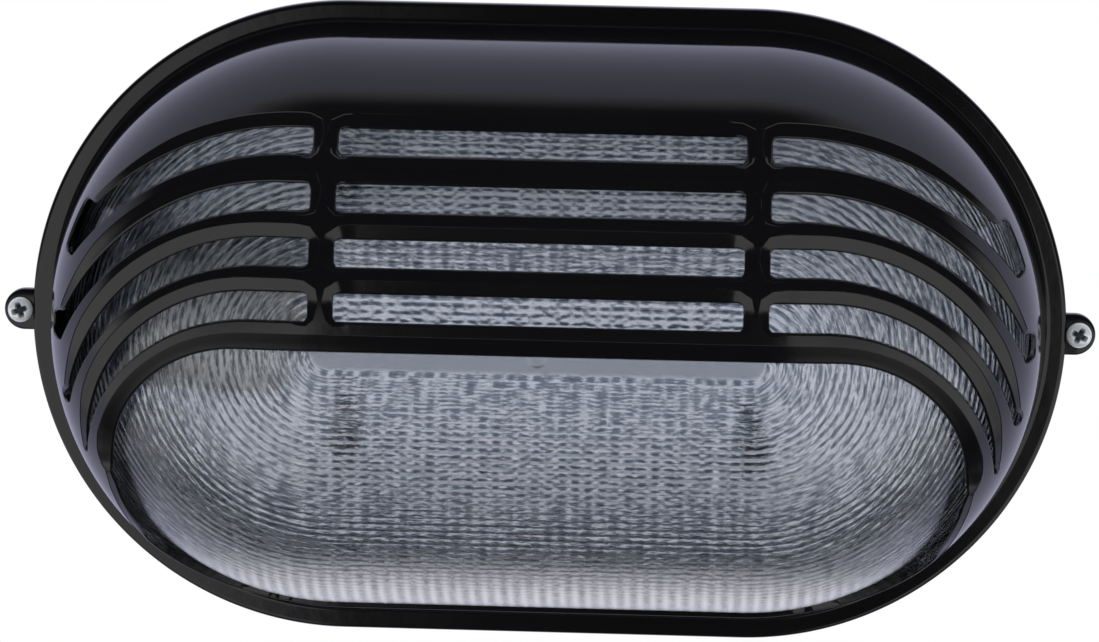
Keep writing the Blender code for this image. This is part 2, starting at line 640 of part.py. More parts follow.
def middle_slot(top_z):
    """Outline of a slot's middle part, with its corners taken off."""
    out = BAR_X - BAR_WIDTH / 2
    low = top_z - SLOT_HEIGHT
    corner = SLOT_CORNER
    return [(-out, low + corner), (-out + corner, low), (out - corner, low), (out, low + corner),
            (out, top_z - corner), (out - corner, top_z), (-out + corner, top_z), (-out, top_z - corner)]


def slot_cutter():
    """Every slot, cut straight back along the depth as the casting's mould draws."""
    back = DOME_FOOT + COVER_WALL / 2
    front = DOME_FOOT + DOME_DEPTH + CUT_PAST
    pieces = []
    for i in range(SLOT_COUNT):
        top_z = SLOT_TOP_Z - i * SLOT_PITCH
        pieces.append(plate("slot_middle" + str(i), middle_slot(top_z), back, front))
        pieces.append(plate("slot_left" + str(i), side_slot(top_z, -1), back, front))
        pieces.append(plate("slot_right" + str(i), side_slot(top_z, 1), back, front))
    return joined("slots", pieces)


def eye_cutter():
    """The eyelid opening: bent corners seen from the front, and a slope with a knee seen from the side."""
    start, radius = bend_at(EYE_TOP_Z)
    below = RIM_RADIUS + CUT_PAST
    front = DOME_FOOT + DOME_DEPTH + CUT_PAST
    corner = [(start + radius * math.sin(angle), EYE_TOP_Z - radius * (1 - math.cos(angle)))
              for angle in (math.pi / 2 * i / EYE_STEPS for i in range(EYE_STEPS + 1))]
    outline = [(-x, z) for x, z in corner][::-1] + corner
    outline = [(-(start + radius), -below)] + outline + [(start + radius, -below)]
    seen_front = plate("eye_front", outline, RIM_FRONT, front)
    slope = [(RIM_FRONT + EYE_LIP, -below), (RIM_FRONT + EYE_LIP, EYE_LIP_Z),
             (RIM_FRONT + EYE_KNEE_HEIGHT, EYE_KNEE_Z), (RIM_FRONT + EYE_TOP_HEIGHT, EYE_TOP_Z),
             (RIM_FRONT + EYE_TOP_HEIGHT, EYE_TOP_Z + SLOT_HEIGHT),
             (front + SLOT_HEIGHT, EYE_TOP_Z + SLOT_HEIGHT),
             (front + SLOT_HEIGHT, -below)]
    wide = RIM_END_X + CUT_PAST
    return boolean(seen_front, plate("eye_side", slope, -wide, wide, side=True), "INTERSECT")


def eyelid_cover():
    """Cast cover: domed oval with slots, bars and the eyelid opening, flat rim, and an ear at each end."""
    recess = REBATE_RADIUS + RECESS_CLEARANCE
    inside = dome(DOME_RADIUS - COVER_WALL, DOME_DEPTH - COVER_WALL, DOME_FOOT)
    shape = oval("eyelid_cover", dome(DOME_RADIUS, DOME_DEPTH, DOME_FOOT) + [
        (WALL_BASE_RADIUS, RIM_FRONT + EDGE_CHAMFER), (WALL_BASE_RADIUS + EDGE_CHAMFER, RIM_FRONT),
        (RIM_RADIUS - EDGE_CHAMFER, RIM_FRONT), (RIM_RADIUS, RIM_FRONT - EDGE_CHAMFER),
        (RIM_RADIUS, COVER_BACK), (recess, COVER_BACK), (recess, COVER_SEAT),
        (WALL_BASE_RADIUS - COVER_WALL, COVER_SEAT)] + inside[::-1], COVER_PAINT)
    made = ears("cover_ears", recess + CASTING_OVERLAP, EAR_RADIUS, EAR_OUTSET,
                COVER_BACK + EAR_RELIEF, EAR_FRONT)
    boolean(shape, made, "UNION")
    boolean(shape, slot_cutter(), "DIFFERENCE")
    boolean(shape, eye_cutter(), "DIFFERENCE")
    places = [(-EAR_SCREW_X, 0), (EAR_SCREW_X, 0)]
    bore = COVER_SCREW_RADIUS + SCREW_CLEARANCE
    holes = depth_holes("cover_ear_holes", bore, places, BASE_DEPTH / 2, DOME_FOOT)
    return boolean(shape, holes, "DIFFERENCE")


def pan_screw(name, place, along, shank, length, head, height, steps=8):
    """A pan-head screw whose head seats at place; along points out of the head."""
    tip = shank * SCREW_TIP
    outline = [(head * out, height * up) for out, up in PAN_HEAD]
    outline += [(shank, 0), (shank, -length + tip), (tip, -length), (0, -length)]
    return turned(name, outline, place, along, ZINC, steps)


def cross_recess(screw, height, place, along):
    """Cut the cross in a cover screw's head, whose top is at this height."""
    bars = []
    turn = Vector(along).to_track_quat("Z", "Y").to_matrix().to_4x4()
    for i, quarter in enumerate((0.0, math.pi / 2)):
        bm = bmesh.new()
        bmesh.ops.create_cube(bm, size=1.0, matrix=Matrix.Translation(place) @ turn
                              @ Matrix.Rotation(quarter + CROSS_TURN, 4, "Z")
                              @ Matrix.Translation((0, 0, height))
                              @ Matrix.Diagonal((CROSS_SPAN, CROSS_WIDTH, CROSS_DEPTH * 2, 1)))
        bars.append(add(screw.name + "_cross" + str(i), mesh_of(bm, screw.name + "_cross"), None))
    for bar in bars:
        boolean(screw, bar, "DIFFERENCE")
    return screw


def cover_screw(name, side):
    """Plated cross-head screw that holds the cover to the base."""
    place = (side * EAR_SCREW_X, -COVER_HEAD_SEAT, 0)
    out = (0, -1, 0)
    made = pan_screw(name, place, out, COVER_SCREW_RADIUS, COVER_SCREW_LENGTH, COVER_SCREW_HEAD_RADIUS,
                     COVER_SCREW_HEAD_HEIGHT, steps=20)
    return cross_recess(made, COVER_SCREW_HEAD_HEIGHT, place, out)


def small_screw(name, place, along, length):
    """Pan-head screw of the reflector, the bracket, the lampholder and the terminal block."""
    return pan_screw(name, place, along, SMALL_SHANK, length, SMALL_HEAD, SMALL_HEAD_HEIGHT)


def reflector():
    """Bright sheet tray: flat floor, sloping sides, cut-outs for bracket, wires and wall screws."""
    floor = REFLECTOR_DEPTH + REFLECTOR_SHEET / 2
    bm = bmesh.new()
    oval_half(bm, [(0, floor), (REFLECTOR_FLOOR_RADIUS, floor),
                   (REFLECTOR_KNEE_RADIUS, floor + REFLECTOR_KNEE_RISE),
                   (REFLECTOR_RIM_RADIUS, REFLECTOR_RIM_DEPTH)])
    shape = add("reflector", mesh_of(bm, "reflector"), BRIGHT_ALUMINIUM)
    mirror = shape.modifiers.new("mirror", "MIRROR")
    mirror.merge_threshold = MERGE
    sheet = shape.modifiers.new("sheet", "SOLIDIFY")
    sheet.thickness = REFLECTOR_SHEET
    sheet.offset = 0.0
    side = BRACKET_WIDTH / 2 + CUT_OUT_CLEARANCE
    cut = [block("bracket_cut", (LEG_REAR_X - CUT_OUT_CLEARANCE, -BASE_DEPTH, -side),
                 (WIRE_RISE_X + WIRE_RADIUS * 2 + CUT_OUT_CLEARANCE, -FOOT_FRONT, side))]
    cut += [rod("driver_hole" + str(i), REFLECTOR_HOLE_RADIUS, (x, -FOOT_FRONT, z), (x, -BASE_DEPTH, z))
            for i, (x, z) in enumerate(wall_hole_places())]
    cut += [small_hole("screw_hole" + str(i), (x, -FOOT_FRONT, 0), (x, -BASE_DEPTH, 0))
            for i, x in enumerate(REFLECTOR_POST_X)]
    return boolean(shape, joined("reflector_cuts", cut), "DIFFERENCE")


def lampholder_bracket():
    """Steel strip bent to an L: its foot on the base's bosses, its leg behind the lampholder."""
    foot_end = LEG_REAR_X + BRACKET_FOOT_LENGTH
    midway = BRACKET_BEND * (1 - math.cos(math.pi / 4))
    inner_bend = BRACKET_BEND - BRACKET_SHEET
    outline = [(LEG_REAR_X, BRACKET_TOP_DEPTH), (LEG_REAR_X, FOOT_BACK + BRACKET_BEND),
               (LEG_REAR_X + midway, FOOT_BACK + midway), (LEG_REAR_X + BRACKET_BEND, FOOT_BACK),
               (foot_end, FOOT_BACK), (foot_end, FOOT_FRONT), (LEG_FRONT_X + inner_bend, FOOT_FRONT),
               (LEG_FRONT_X, FOOT_FRONT + inner_bend), (LEG_FRONT_X, BRACKET_TOP_DEPTH)]
    half = BRACKET_WIDTH / 2
    flat = plate("lampholder_bracket", [(x, depth) for x, depth in outline], -half, half, paint=ZINC)
    flat.data.transform(Matrix.Rotation(math.pi / 2, 4, "X"))
    holes = [small_hole("foot_clear" + str(i), (x, CUT_PAST - FOOT_BACK, 0), (x, -FOOT_FRONT - CUT_PAST, 0))
             for i, x in enumerate(BRACKET_SCREW_X)]
    for side in (-1, 1):
        place = side * HOLDER_SCREW_Z
        holes.append(small_hole("leg_clear" + str(side), (LEG_REAR_X - CUT_PAST, -HOLDER_AXIS_DEPTH, place),
                                (LEG_FRONT_X + CUT_PAST, -HOLDER_AXIS_DEPTH, place)))
    return boolean(flat, joined("bracket_holes", holes), "DIFFERENCE")


def lampholder_body():
    """Ceramic lampholder: socket bore in front, wiring recess behind, wire holes from below."""
    front = HOLDER_LENGTH
    socket = front - SOCKET_DEPTH
    skirt = HOLDER_NECK_LENGTH + HOLDER_SHOULDER
    outline = [(SOCKET_RADIUS, front), (HOLDER_SKIRT_RADIUS, front), (HOLDER_SKIRT_RADIUS, skirt),
               (HOLDER_NECK_RADIUS, HOLDER_NECK_LENGTH), (HOLDER_NECK_RADIUS, 0), (REAR_RECESS_RADIUS, 0),
               (REAR_RECESS_RADIUS, REAR_RECESS_DEPTH), (0, REAR_RECESS_DEPTH)]
    outline = [(0, socket), (SOCKET_RADIUS, socket)] + outline
    shape = turned("lampholder_body", outline, (HOLDER_REAR_X, -HOLDER_AXIS_DEPTH, 0), (1, 0, 0), CERAMIC, 24)
    cuts = [small_hole("holder_hole" + str(side), (LEG_REAR_X, -HOLDER_AXIS_DEPTH, side * HOLDER_SCREW_Z),
                       (HOLDER_REAR_X + HOLDER_SCREW_LENGTH, -HOLDER_AXIS_DEPTH, side * HOLDER_SCREW_Z))
            for side in (-1, 1)]
    cuts += [rod("wire_hole" + str(side), WIRE_RADIUS + SMALL_HOLE_CLEARANCE,
                 (WIRE_RISE_X, -(HOLDER_AXIS_DEPTH - HOLDER_SKIRT_RADIUS), side * WIRE_ENTRY_Z),
                 (WIRE_RISE_X, -(HOLDER_AXIS_DEPTH - REAR_RECESS_RADIUS / 2), side * WIRE_ENTRY_Z),
                 segments=SMALL_HOLE_STEPS) for side in (-1, 1)]
    return boolean(shape, joined("holder_cuts", cuts), "DIFFERENCE")


def lampholder_shell():
    """Pressed screw shell of the socket, with rolled threads."""
    outer = SOCKET_RADIUS - SEAT_GAP
    start = HOLDER_LENGTH - SOCKET_DEPTH + SEAT_GAP
    steps = SHELL_THREADS * 2
    wave = []
    for i in range(steps + 1):
        dip = SHELL_THREAD_DEPTH / 2 * (1 - math.cos(2 * math.pi * SHELL_THREADS * i / steps))
        wave.append((outer - dip, start + SHELL_LENGTH * (1 - i / steps)))
    back = [(radius - SHELL_WALL, height) for radius, height in wave[::-1]]
    outline = wave + back + [wave[0]]
    return turned("lampholder_shell", outline, (HOLDER_REAR_X, -HOLDER_AXIS_DEPTH, 0), (1, 0, 0), BRASS)


def lampholder_contact():
    """Centre contact on the socket's floor."""
    foot = HOLDER_LENGTH - SOCKET_DEPTH + SEAT_GAP
    outline = [(CONTACT_RADIUS * out, foot + CONTACT_HEIGHT * up) for out, up in CONTACT_SECTION]
    return turned("lampholder_contact", outline, (HOLDER_REAR_X, -HOLDER_AXIS_DEPTH, 0), (1, 0, 0), BRASS, 12)


def terminal_x():
    """Where the two screws of a pole stand along X."""
    return (BLOCK_X - TERMINAL_SCREW_X, BLOCK_X + TERMINAL_SCREW_X)


def terminal_block():
    """Moulded two-pole block with a bore and two screw wells to each pole."""
    half = BLOCK_LENGTH / 2
    wide = BLOCK_WIDTH / 2
    over = BLOCK_FRONT + CUT_PAST
    shape = block("terminal_block", (BLOCK_X - half, -BLOCK_FRONT, -wide), (BLOCK_X + half, -BLOCK_BACK, wide),
                  BLOCK_PLASTIC)
    soften = shape.modifiers.new("edges", "BEVEL")
    soften.width = BLOCK_EDGE
    soften.segments = 2
    bores = [rod("pole_bore" + str(side), CLAMP_RADIUS + SEAT_GAP,
                 (BLOCK_X - BLOCK_LENGTH, -POLE_DEPTH, side * POLE_Z),
                 (BLOCK_X + BLOCK_LENGTH, -POLE_DEPTH, side * POLE_Z), segments=14) for side in (-1, 1)]
    boolean(shape, joined("pole_bores", bores), "DIFFERENCE")
    wells = [rod("well" + str(side) + str(i), TERMINAL_HEAD + SEAT_GAP, (x, -POLE_DEPTH, side * POLE_Z),
                 (x, -over, side * POLE_Z), segments=12)
             for side in (-1, 1) for i, x in enumerate(terminal_x())]
    boolean(shape, joined("wells", wells), "DIFFERENCE")
    boolean(shape, small_hole("block_clear", (BLOCK_X, 0, 0), (BLOCK_X, -over, 0)), "DIFFERENCE")
    seat = BLOCK_FRONT - BLOCK_SCREW_SINK
    sink = rod("block_sink", SMALL_HEAD + SEAT_GAP, (BLOCK_X, -seat, 0), (BLOCK_X, -over, 0), segments=12)
    return boolean(shape, sink, "DIFFERENCE")


def terminal_clamp(name, side):
    """Brass tube of one pole, with two screw holes."""
    half = CLAMP_LENGTH / 2
    outline = [(CLAMP_BORE, half), (CLAMP_RADIUS, half), (CLAMP_RADIUS, -half), (CLAMP_BORE, -half),
               (CLAMP_BORE, half)]
    shape = turned(name, outline, (BLOCK_X, -POLE_DEPTH, side * POLE_Z), (1, 0, 0), BRASS, 12)
    holes = [rod(name + "_hole" + str(i), TERMINAL_SHANK + SEAT_GAP / 2, (x, -POLE_DEPTH, side * POLE_Z),
                 (x, -BLOCK_FRONT, side * POLE_Z), segments=8) for i, x in enumerate(terminal_x())]
    return boolean(shape, joined(name + "_holes", holes), "DIFFERENCE")


def terminal_screw(name, x, side):
    """Small clamping screw, its head seated above the clamp."""
    seat = POLE_DEPTH + CLAMP_RADIUS + SEAT_GAP
    length = CLAMP_RADIUS + SEAT_GAP - CLAMP_BORE + SEAT_GAP
    return pan_screw(name, (x, -seat, side * POLE_Z), (0, -1, 0), TERMINAL_SHANK, length, TERMINAL_HEAD,
                     TERMINAL_HEAD_HEIGHT, steps=8)


def earth_washer():
    """Flat washer under the earth screw."""
    back = EARTH_FACE + SEAT_GAP
    bore = EARTH_SHANK + SMALL_HOLE_CLEARANCE
    top = EARTH_WASHER_THICKNESS
    outline = [(bore, top), (EARTH_WASHER_RADIUS, top), (EARTH_WASHER_RADIUS, 0), (bore, 0), (bore, top)]
    return turned("earth_washer", outline, (EARTH_X, -back, EARTH_Z), (0, -1, 0), BRASS, 16)


def earth_screw():
    """Larger pan-head screw that clamps the earth wire under its washer."""
    seat = EARTH_FACE + EARTH_WASHER_THICKNESS + SEAT_GAP * 2
    length = seat - BACK_THICKNESS / 2 - SEAT_GAP
    return pan_screw("earth_screw", (EARTH_X, -seat, EARTH_Z), (0, -1, 0), EARTH_SHANK, length, EARTH_HEAD,
                     EARTH_HEAD_HEIGHT, steps=12)


def smooth_route(points):
    """Points of a Catmull-Rom curve through a route."""
    route = [Vector(point) for point in points]
    route = [route[0] * 2 - route[1]] + route + [route[-1] * 2 - route[-2]]
    result = []
    for a, b, c, d in zip(route, route[1:], route[2:], route[3:]):
        for i in range(WIRE_STEPS):
            t = i / WIRE_STEPS
            result.append(0.5 * (2 * b + (c - a) * t + (2 * a - 5 * b + 4 * c - d) * t ** 2
                                 + (3 * b - a - 3 * c + d) * t ** 3))
    return result + [route[-2]]


def wire(name, side, paint):
    """Insulated wire from a terminal clamp along the base and up into the lampholder's recess."""
    mouth = BLOCK_X - CLAMP_LENGTH / 2
    turn_x = WIRE_RISE_X + WIRE_LEAD
    route = [(mouth + CLAMP_RADIUS, -POLE_DEPTH, side * POLE_Z),
             (mouth - WIRE_LEAD, -POLE_DEPTH, side * POLE_Z),
             (mouth - WIRE_LEAD - WIRE_SLOPE, -WIRE_LEVEL, side * WIRE_SPREAD),
             (turn_x, -WIRE_LEVEL, side * WIRE_RISE_SPREAD),
             (WIRE_RISE_X, -REFLECTOR_DEPTH, side * (WIRE_SPREAD + WIRE_ENTRY_Z) / 2),
             (WIRE_RISE_X, -(HOLDER_AXIS_DEPTH - HOLDER_SKIRT_RADIUS), side * WIRE_ENTRY_Z),
             (WIRE_RISE_X, -(HOLDER_AXIS_DEPTH - WIRE_END), side * WIRE_ENTRY_Z)]
    curve = bpy.data.curves.new(name, "CURVE")
    curve.dimensions = "3D"
    curve.bevel_depth = WIRE_RADIUS
    curve.bevel_resolution = 1
    curve.use_fill_caps = True
    points = smooth_route(route)
    spline = curve.splines.new("POLY")
    spline.points.add(len(points) - 1)
    for point, place in zip(spline.points, points):
        point.co = (*place, 1)
    drawn = bpy.data.objects.new(name + "_drawn", curve)
    CUTTERS.objects.link(drawn)
    bpy.context.view_layer.update()
    mesh = bpy.data.meshes.new_from_object(drawn.evaluated_get(bpy.context.evaluated_depsgraph_get()))
    bpy.data.objects.remove(drawn, do_unlink=True)
    bm = bmesh.new()
    bm.from_mesh(mesh)
    bpy.data.meshes.remove(mesh)
    return add(name, mesh_of(bm, name), paint)


def cable_grommet():
    """Rubber grommet in the rear cable inlet: neck in the back plate, flange and sleeve inside."""
    neck = INLET_RADIUS - SEAT_GAP
    seat = BACK_THICKNESS + SEAT_GAP
    flange = seat + GROMMET_FLANGE
    mouth = flange + GROMMET_SLEEVE
    outline = [(GROMMET_BORE, mouth), (GROMMET_LIP, mouth), (neck, flange), (GROMMET_FLANGE_RADIUS, flange),
               (GROMMET_FLANGE_RADIUS, seat), (neck, seat), (neck, SEAT_GAP), (GROMMET_BORE, SEAT_GAP),
               (GROMMET_BORE, mouth)]
    return turned("cable_grommet", outline, (INLET_X, 0, 0), (0, -1, 0), RUBBER, 20)


def build():
    """Make every node of the lamp."""
    base_housing()
    base_gasket()
    glass()
    eyelid_cover()
    cover_screw("cover_screw_left", -1)
    cover_screw("cover_screw_right", 1)
    reflector()
    for i, x in enumerate(REFLECTOR_POST_X, 1):
        small_screw("reflector_screw_" + str(i), (x, -(REFLECTOR_FRONT + SEAT_GAP), 0), (0, -1, 0),
                    REFLECTOR_SCREW_LENGTH)
    lampholder_bracket()
    for i, x in enumerate(BRACKET_SCREW_X, 1):
        small_screw("bracket_screw_" + str(i), (x, -(FOOT_FRONT + SEAT_GAP), 0), (0, -1, 0),
                    FOOT_FRONT - BACK_THICKNESS / 2)
    lampholder_body()
    lampholder_shell()
    lampholder_contact()
    for i, side in enumerate((-1, 1), 1):
        small_screw("lampholder_screw_" + str(i), (LEG_REAR_X - SEAT_GAP, -HOLDER_AXIS_DEPTH, side * HOLDER_SCREW_Z),
                    (-1, 0, 0), HOLDER_SCREW_LENGTH)
    terminal_block()
    terminal_clamp("terminal_clamp_live", 1)
    terminal_clamp("terminal_clamp_neutral", -1)
    for i, (side, x) in enumerate([(side, x) for side in (1, -1) for x in terminal_x()], 1):
        terminal_screw("terminal_screw_" + str(i), x, side)
    small_screw("terminal_block_screw", (BLOCK_X, -(BLOCK_FRONT - BLOCK_SCREW_SINK + SEAT_GAP), 0), (0, -1, 0),
                BLOCK_FRONT - BLOCK_SCREW_SINK - BACK_THICKNESS / 2)
    earth_washer()
    earth_screw()
    wire("wire_live", 1, BROWN_PVC)
    wire("wire_neutral", -1, BLUE_PVC)
    cable_grommet()


build()
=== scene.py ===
"""Oval bulkhead wall lamp with an eyelid cover: the looks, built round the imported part.

Metres, +Z up. The wall is the plane y = 0 and the lamp stands out towards -Y, so a depth d is y = -d.
Every oval here is a straight of 2 * HALF_STRAIGHT with a half circle at each end.
"""
import math

import bmesh
import bpy
import numpy as np
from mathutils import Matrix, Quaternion, Vector
from mathutils.geometry import delaunay_2d_cdt


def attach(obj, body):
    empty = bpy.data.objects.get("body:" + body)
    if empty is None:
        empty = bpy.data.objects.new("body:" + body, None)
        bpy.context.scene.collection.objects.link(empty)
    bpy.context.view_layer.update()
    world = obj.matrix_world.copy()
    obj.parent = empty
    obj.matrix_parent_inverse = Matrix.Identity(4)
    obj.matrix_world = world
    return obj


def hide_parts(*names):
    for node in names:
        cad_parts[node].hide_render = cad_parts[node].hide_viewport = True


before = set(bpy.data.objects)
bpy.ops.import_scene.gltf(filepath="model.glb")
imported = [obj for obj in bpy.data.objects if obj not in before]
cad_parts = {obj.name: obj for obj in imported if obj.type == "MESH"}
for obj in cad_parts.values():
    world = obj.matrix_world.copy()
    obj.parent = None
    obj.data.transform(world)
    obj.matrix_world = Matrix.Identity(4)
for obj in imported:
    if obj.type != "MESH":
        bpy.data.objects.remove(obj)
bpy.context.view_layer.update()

# The studio: plain even white light. Gloss paint and metal mirror a tent that is pale behind the lamp and low
# at its sides, and dark over the camera, so black paint stays black in front and shows pale bands at its
# sides. The floor is a pale table that keeps the lamp's shadow.
TENT_BEHIND = "#C2C2DE"
TENT_SIDES = "#F2EFEC"
TENT_THROUGH = "#EDF1FD"
SIDE_START, SIDE_END = 0.075, 0.125
LOW_START, LOW_END = -0.10, 0.02
UNDER_START, UNDER_END = -0.78, -0.55
BEHIND_START, BEHIND_END = -0.15, 0.15
WALL_START, WALL_END = 0.80, 0.92
DARK_LEVEL = 0.018
TENT_LEVEL = 1.0
LENS_LEVEL = 1.0
FLOOR_DROP = 0.45
FLOOR_SIZE = 1.6


def linear(code, alpha=1.0):
    """An sRGB hex colour as linear values."""
    parts = [int(code[i:i + 2], 16) / 255 for i in (1, 3, 5)]
    return (*[c / 12.92 if c <= 0.04045 else ((c + 0.055) / 1.055) ** 2.4 for c in parts], alpha)


def node(tree, kind, inputs=(), **settings):
    """Add a node with its settings. Each input, by number or name, is given a socket to link or a value."""
    made = tree.nodes.new(kind)
    for name, value in settings.items():
        setattr(made, name, value)
    for name, value in dict(inputs).items():
        if isinstance(value, bpy.types.NodeSocket):
            tree.links.new(value, made.inputs[name])
        else:
            made.inputs[name].default_value = value
    return made


bpy.context.scene.view_settings.view_transform = "Standard"
world = bpy.data.worlds.new("studio_tent")
world.use_nodes = True
bpy.context.scene.world = world
sky = world.node_tree
sky.nodes.clear()
toward = node(sky, "ShaderNodeTexCoord")
split = node(sky, "ShaderNodeSeparateXYZ", {0: toward.outputs["Generated"]})
across = node(sky, "ShaderNodeMath", {0: split.outputs["X"]}, operation="ABSOLUTE")
beside = node(sky, "ShaderNodeMapRange", {0: across.outputs[0], 1: SIDE_START, 2: SIDE_END},
              interpolation_type="SMOOTHSTEP")
low = node(sky, "ShaderNodeMapRange", {0: split.outputs["Z"], 1: LOW_START, 2: LOW_END, 3: 1.0, 4: 0.0},
           interpolation_type="SMOOTHSTEP")
behind = node(sky, "ShaderNodeMapRange", {0: split.outputs["Y"], 1: BEHIND_START, 2: BEHIND_END},
              interpolation_type="SMOOTHSTEP")
above = node(sky, "ShaderNodeMapRange", {0: split.outputs["Z"], 1: UNDER_START, 2: UNDER_END},
             interpolation_type="SMOOTHSTEP")
sides = node(sky, "ShaderNodeMath", {0: beside.outputs[0], 1: low.outputs[0]}, operation="MULTIPLY")
sides = node(sky, "ShaderNodeMath", {0: sides.outputs[0], 1: above.outputs[0]}, operation="MULTIPLY")
lit = node(sky, "ShaderNodeMath", {0: sides.outputs[0], 1: behind.outputs[0]}, operation="MAXIMUM")
level = node(sky, "ShaderNodeMapRange", {0: lit.outputs[0], 3: DARK_LEVEL, 4: TENT_LEVEL})
tone = node(sky, "ShaderNodeMix", {0: behind.outputs[0], 6: linear(TENT_SIDES), 7: linear(TENT_BEHIND)},
            data_type="RGBA")

# Glass shows a bright tent all round, but for what lies straight behind the lamp.
rays = node(sky, "ShaderNodeLightPath")
through = rays.outputs["Is Transmission Ray"]
clear_level = node(sky, "ShaderNodeMapRange", {0: split.outputs["Y"], 1: WALL_START, 2: WALL_END,
                                               3: LENS_LEVEL, 4: 0.0}, interpolation_type="SMOOTHSTEP")
level = node(sky, "ShaderNodeMix", {0: through, 2: level.outputs[0], 3: clear_level.outputs[0]})
tone = node(sky, "ShaderNodeMix", {0: through, 6: tone.outputs[2], 7: linear(TENT_THROUGH)}, data_type="RGBA")
tent = node(sky, "ShaderNodeBackground", {"Strength": level.outputs[0], "Color": tone.outputs[2]})
plain = node(sky, "ShaderNodeBackground", {"Color": (1, 1, 1, 1), "Strength": 1.0})
mirrored = node(sky, "ShaderNodeMath", {0: rays.outputs["Is Glossy Ray"], 1: through}, operation="MAXIMUM")
shown = node(sky, "ShaderNodeMixShader", {0: mirrored.outputs[0], 1: plain.outputs[0], 2: tent.outputs[0]})
node(sky, "ShaderNodeOutputWorld", {"Surface": shown.outputs[0]})

floor_mesh = bpy.data.meshes.new("floor")
edge = FLOOR_SIZE / 2
floor_mesh.from_pydata([(-edge, -edge, -FLOOR_DROP), (edge, -edge, -FLOOR_DROP), (edge, edge, -FLOOR_DROP),
                        (-edge, edge, -FLOOR_DROP)], [], [(0, 1, 2, 3)])
floor = bpy.data.objects.new("floor", floor_mesh)
bpy.context.scene.collection.objects.link(floor)
floor.visible_glossy = False
floor.visible_transmission = False
pale = bpy.data.materials.new("pale_table_board")
pale.use_nodes = True
pale.node_tree.nodes["Principled BSDF"].inputs["Base Color"].default_value = linear("#F4F4F4")
pale.node_tree.nodes["Principled BSDF"].inputs["Roughness"].default_value = 0.8
floor_mesh.materials.append(pale)

# The camera stands a little above and to the right, 1.1 m in front of the rim.
IMAGE_WIDTH = 1099
IMAGE_HEIGHT = 642
PIXELS_PER_MM = 3.82
CAMERA_DISTANCE = 1.100
CAMERA_AZIMUTH = math.radians(2.1)
CAMERA_ELEVATION = math.radians(8.3)
CAMERA_ROLL = math.radians(1.1)
RIM_PLANE = 0.0410
RIM_CENTRE_X = 547.3
RIM_CENTRE_Y = 322.5
SENSOR = 36.0

lens = bpy.data.cameras.new("camera")
lens.sensor_width = SENSOR
lens.lens = PIXELS_PER_MM * 1000 * CAMERA_DISTANCE / IMAGE_WIDTH * SENSOR
lens.clip_start = 0.01
lens.shift_x = (IMAGE_WIDTH / 2 - RIM_CENTRE_X) / IMAGE_WIDTH
lens.shift_y = (RIM_CENTRE_Y - IMAGE_HEIGHT / 2) / IMAGE_WIDTH
camera = bpy.data.objects.new("camera", lens)
bpy.context.scene.collection.objects.link(camera)
aim = Vector((0, -RIM_PLANE, 0))
back = Vector((math.sin(CAMERA_AZIMUTH) * math.cos(CAMERA_ELEVATION),
               -math.cos(CAMERA_AZIMUTH) * math.cos(CAMERA_ELEVATION), math.sin(CAMERA_ELEVATION)))
camera.location = aim + back * CAMERA_DISTANCE
camera.rotation_mode = "QUATERNION"
camera.rotation_quaternion = back.to_track_quat("Z", "Y") @ Quaternion((0, 0, 1), CAMERA_ROLL)
bpy.context.scene.camera = camera

# Eyelid cover: one aluminium casting, stoved gloss black. Its slots and its eyelid opening are cast
# straight through, with sloping front edges, and its flat rim clamps the glass to the base. The dome is a
# superellipse carried round an oval, which the glass, base, gasket and reflector follow too.
HALF_STRAIGHT = 0.0524
RIM_RADIUS = 0.0830
COVER_BACK = 0.0363
COVER_SEAT = 0.0389
RIM_FRONT = 0.0410
DOME_FOOT = 0.0490
DOME_RADIUS = 0.0758
DOME_DEPTH = 0.0600
DOME_POWER = 2.45
NORMAL_STEP = 0.0002


def rounded(points, radii, steps=5):
    """An open outline with its corners turned into arcs.

    An arc of radius r starts r * tan(half the turn) before the corner and ends as far behind it; its
    points are the corner's circle sampled at even angles.
    """
    points = np.asarray(points, float)
    out = [points[0]]
    for before, corner, after, radius in zip(points, points[1:], points[2:], radii):
        leaving = (before - corner) / np.linalg.norm(before - corner)
        arriving = (after - corner) / np.linalg.norm(after - corner)
        half = math.acos(np.clip(leaving @ arriving, -1, 1)) / 2
        if not radius or half > math.radians(89):
            out.append(corner)
            continue
        reach = radius / math.tan(half)
        middle = leaving + arriving
        centre = corner + middle / np.linalg.norm(middle) * radius / math.sin(half)
        start, end = corner + leaving * reach - centre, corner + arriving * reach - centre
        arc = math.pi - 2 * half
        for share in np.linspace(0, 1, steps + 1):
            turn = start * math.sin((1 - share) * arc) + end * math.sin(share * arc)
            out.append(centre + turn / math.sin(arc))
    return np.array(out + [points[-1]])


def superellipse(radius, depth, foot, steps=240):
    """(radius, depth) from the middle of a dome's front to its foot: (r/R)^n + (h/H)^n = 1."""
    angle = np.linspace(0, math.pi / 2, steps)
    out = radius * np.sin(angle) ** (2 / DOME_POWER)
    forward = depth * np.clip(np.cos(angle), 0, 1) ** (2 / DOME_POWER)
    forward[-1] = 0
    return np.column_stack([out, foot + forward])


def girth(profile):
    """Length along a profile, from its first point to each of the others."""
    return np.concatenate([[0], np.cumsum(np.linalg.norm(np.diff(profile, axis=0), axis=1))])


def on_oval(flat):
    """Per flat point: the nearest X on the oval's straight, the unit direction away from it, the distance."""
    centre = np.clip(flat[:, 0], -HALF_STRAIGHT, HALF_STRAIGHT)
    away = flat - np.column_stack([centre, np.zeros(len(flat))])
    reach = np.linalg.norm(away, axis=1)
    return centre, away / np.maximum(reach, 1e-12)[:, None], reach


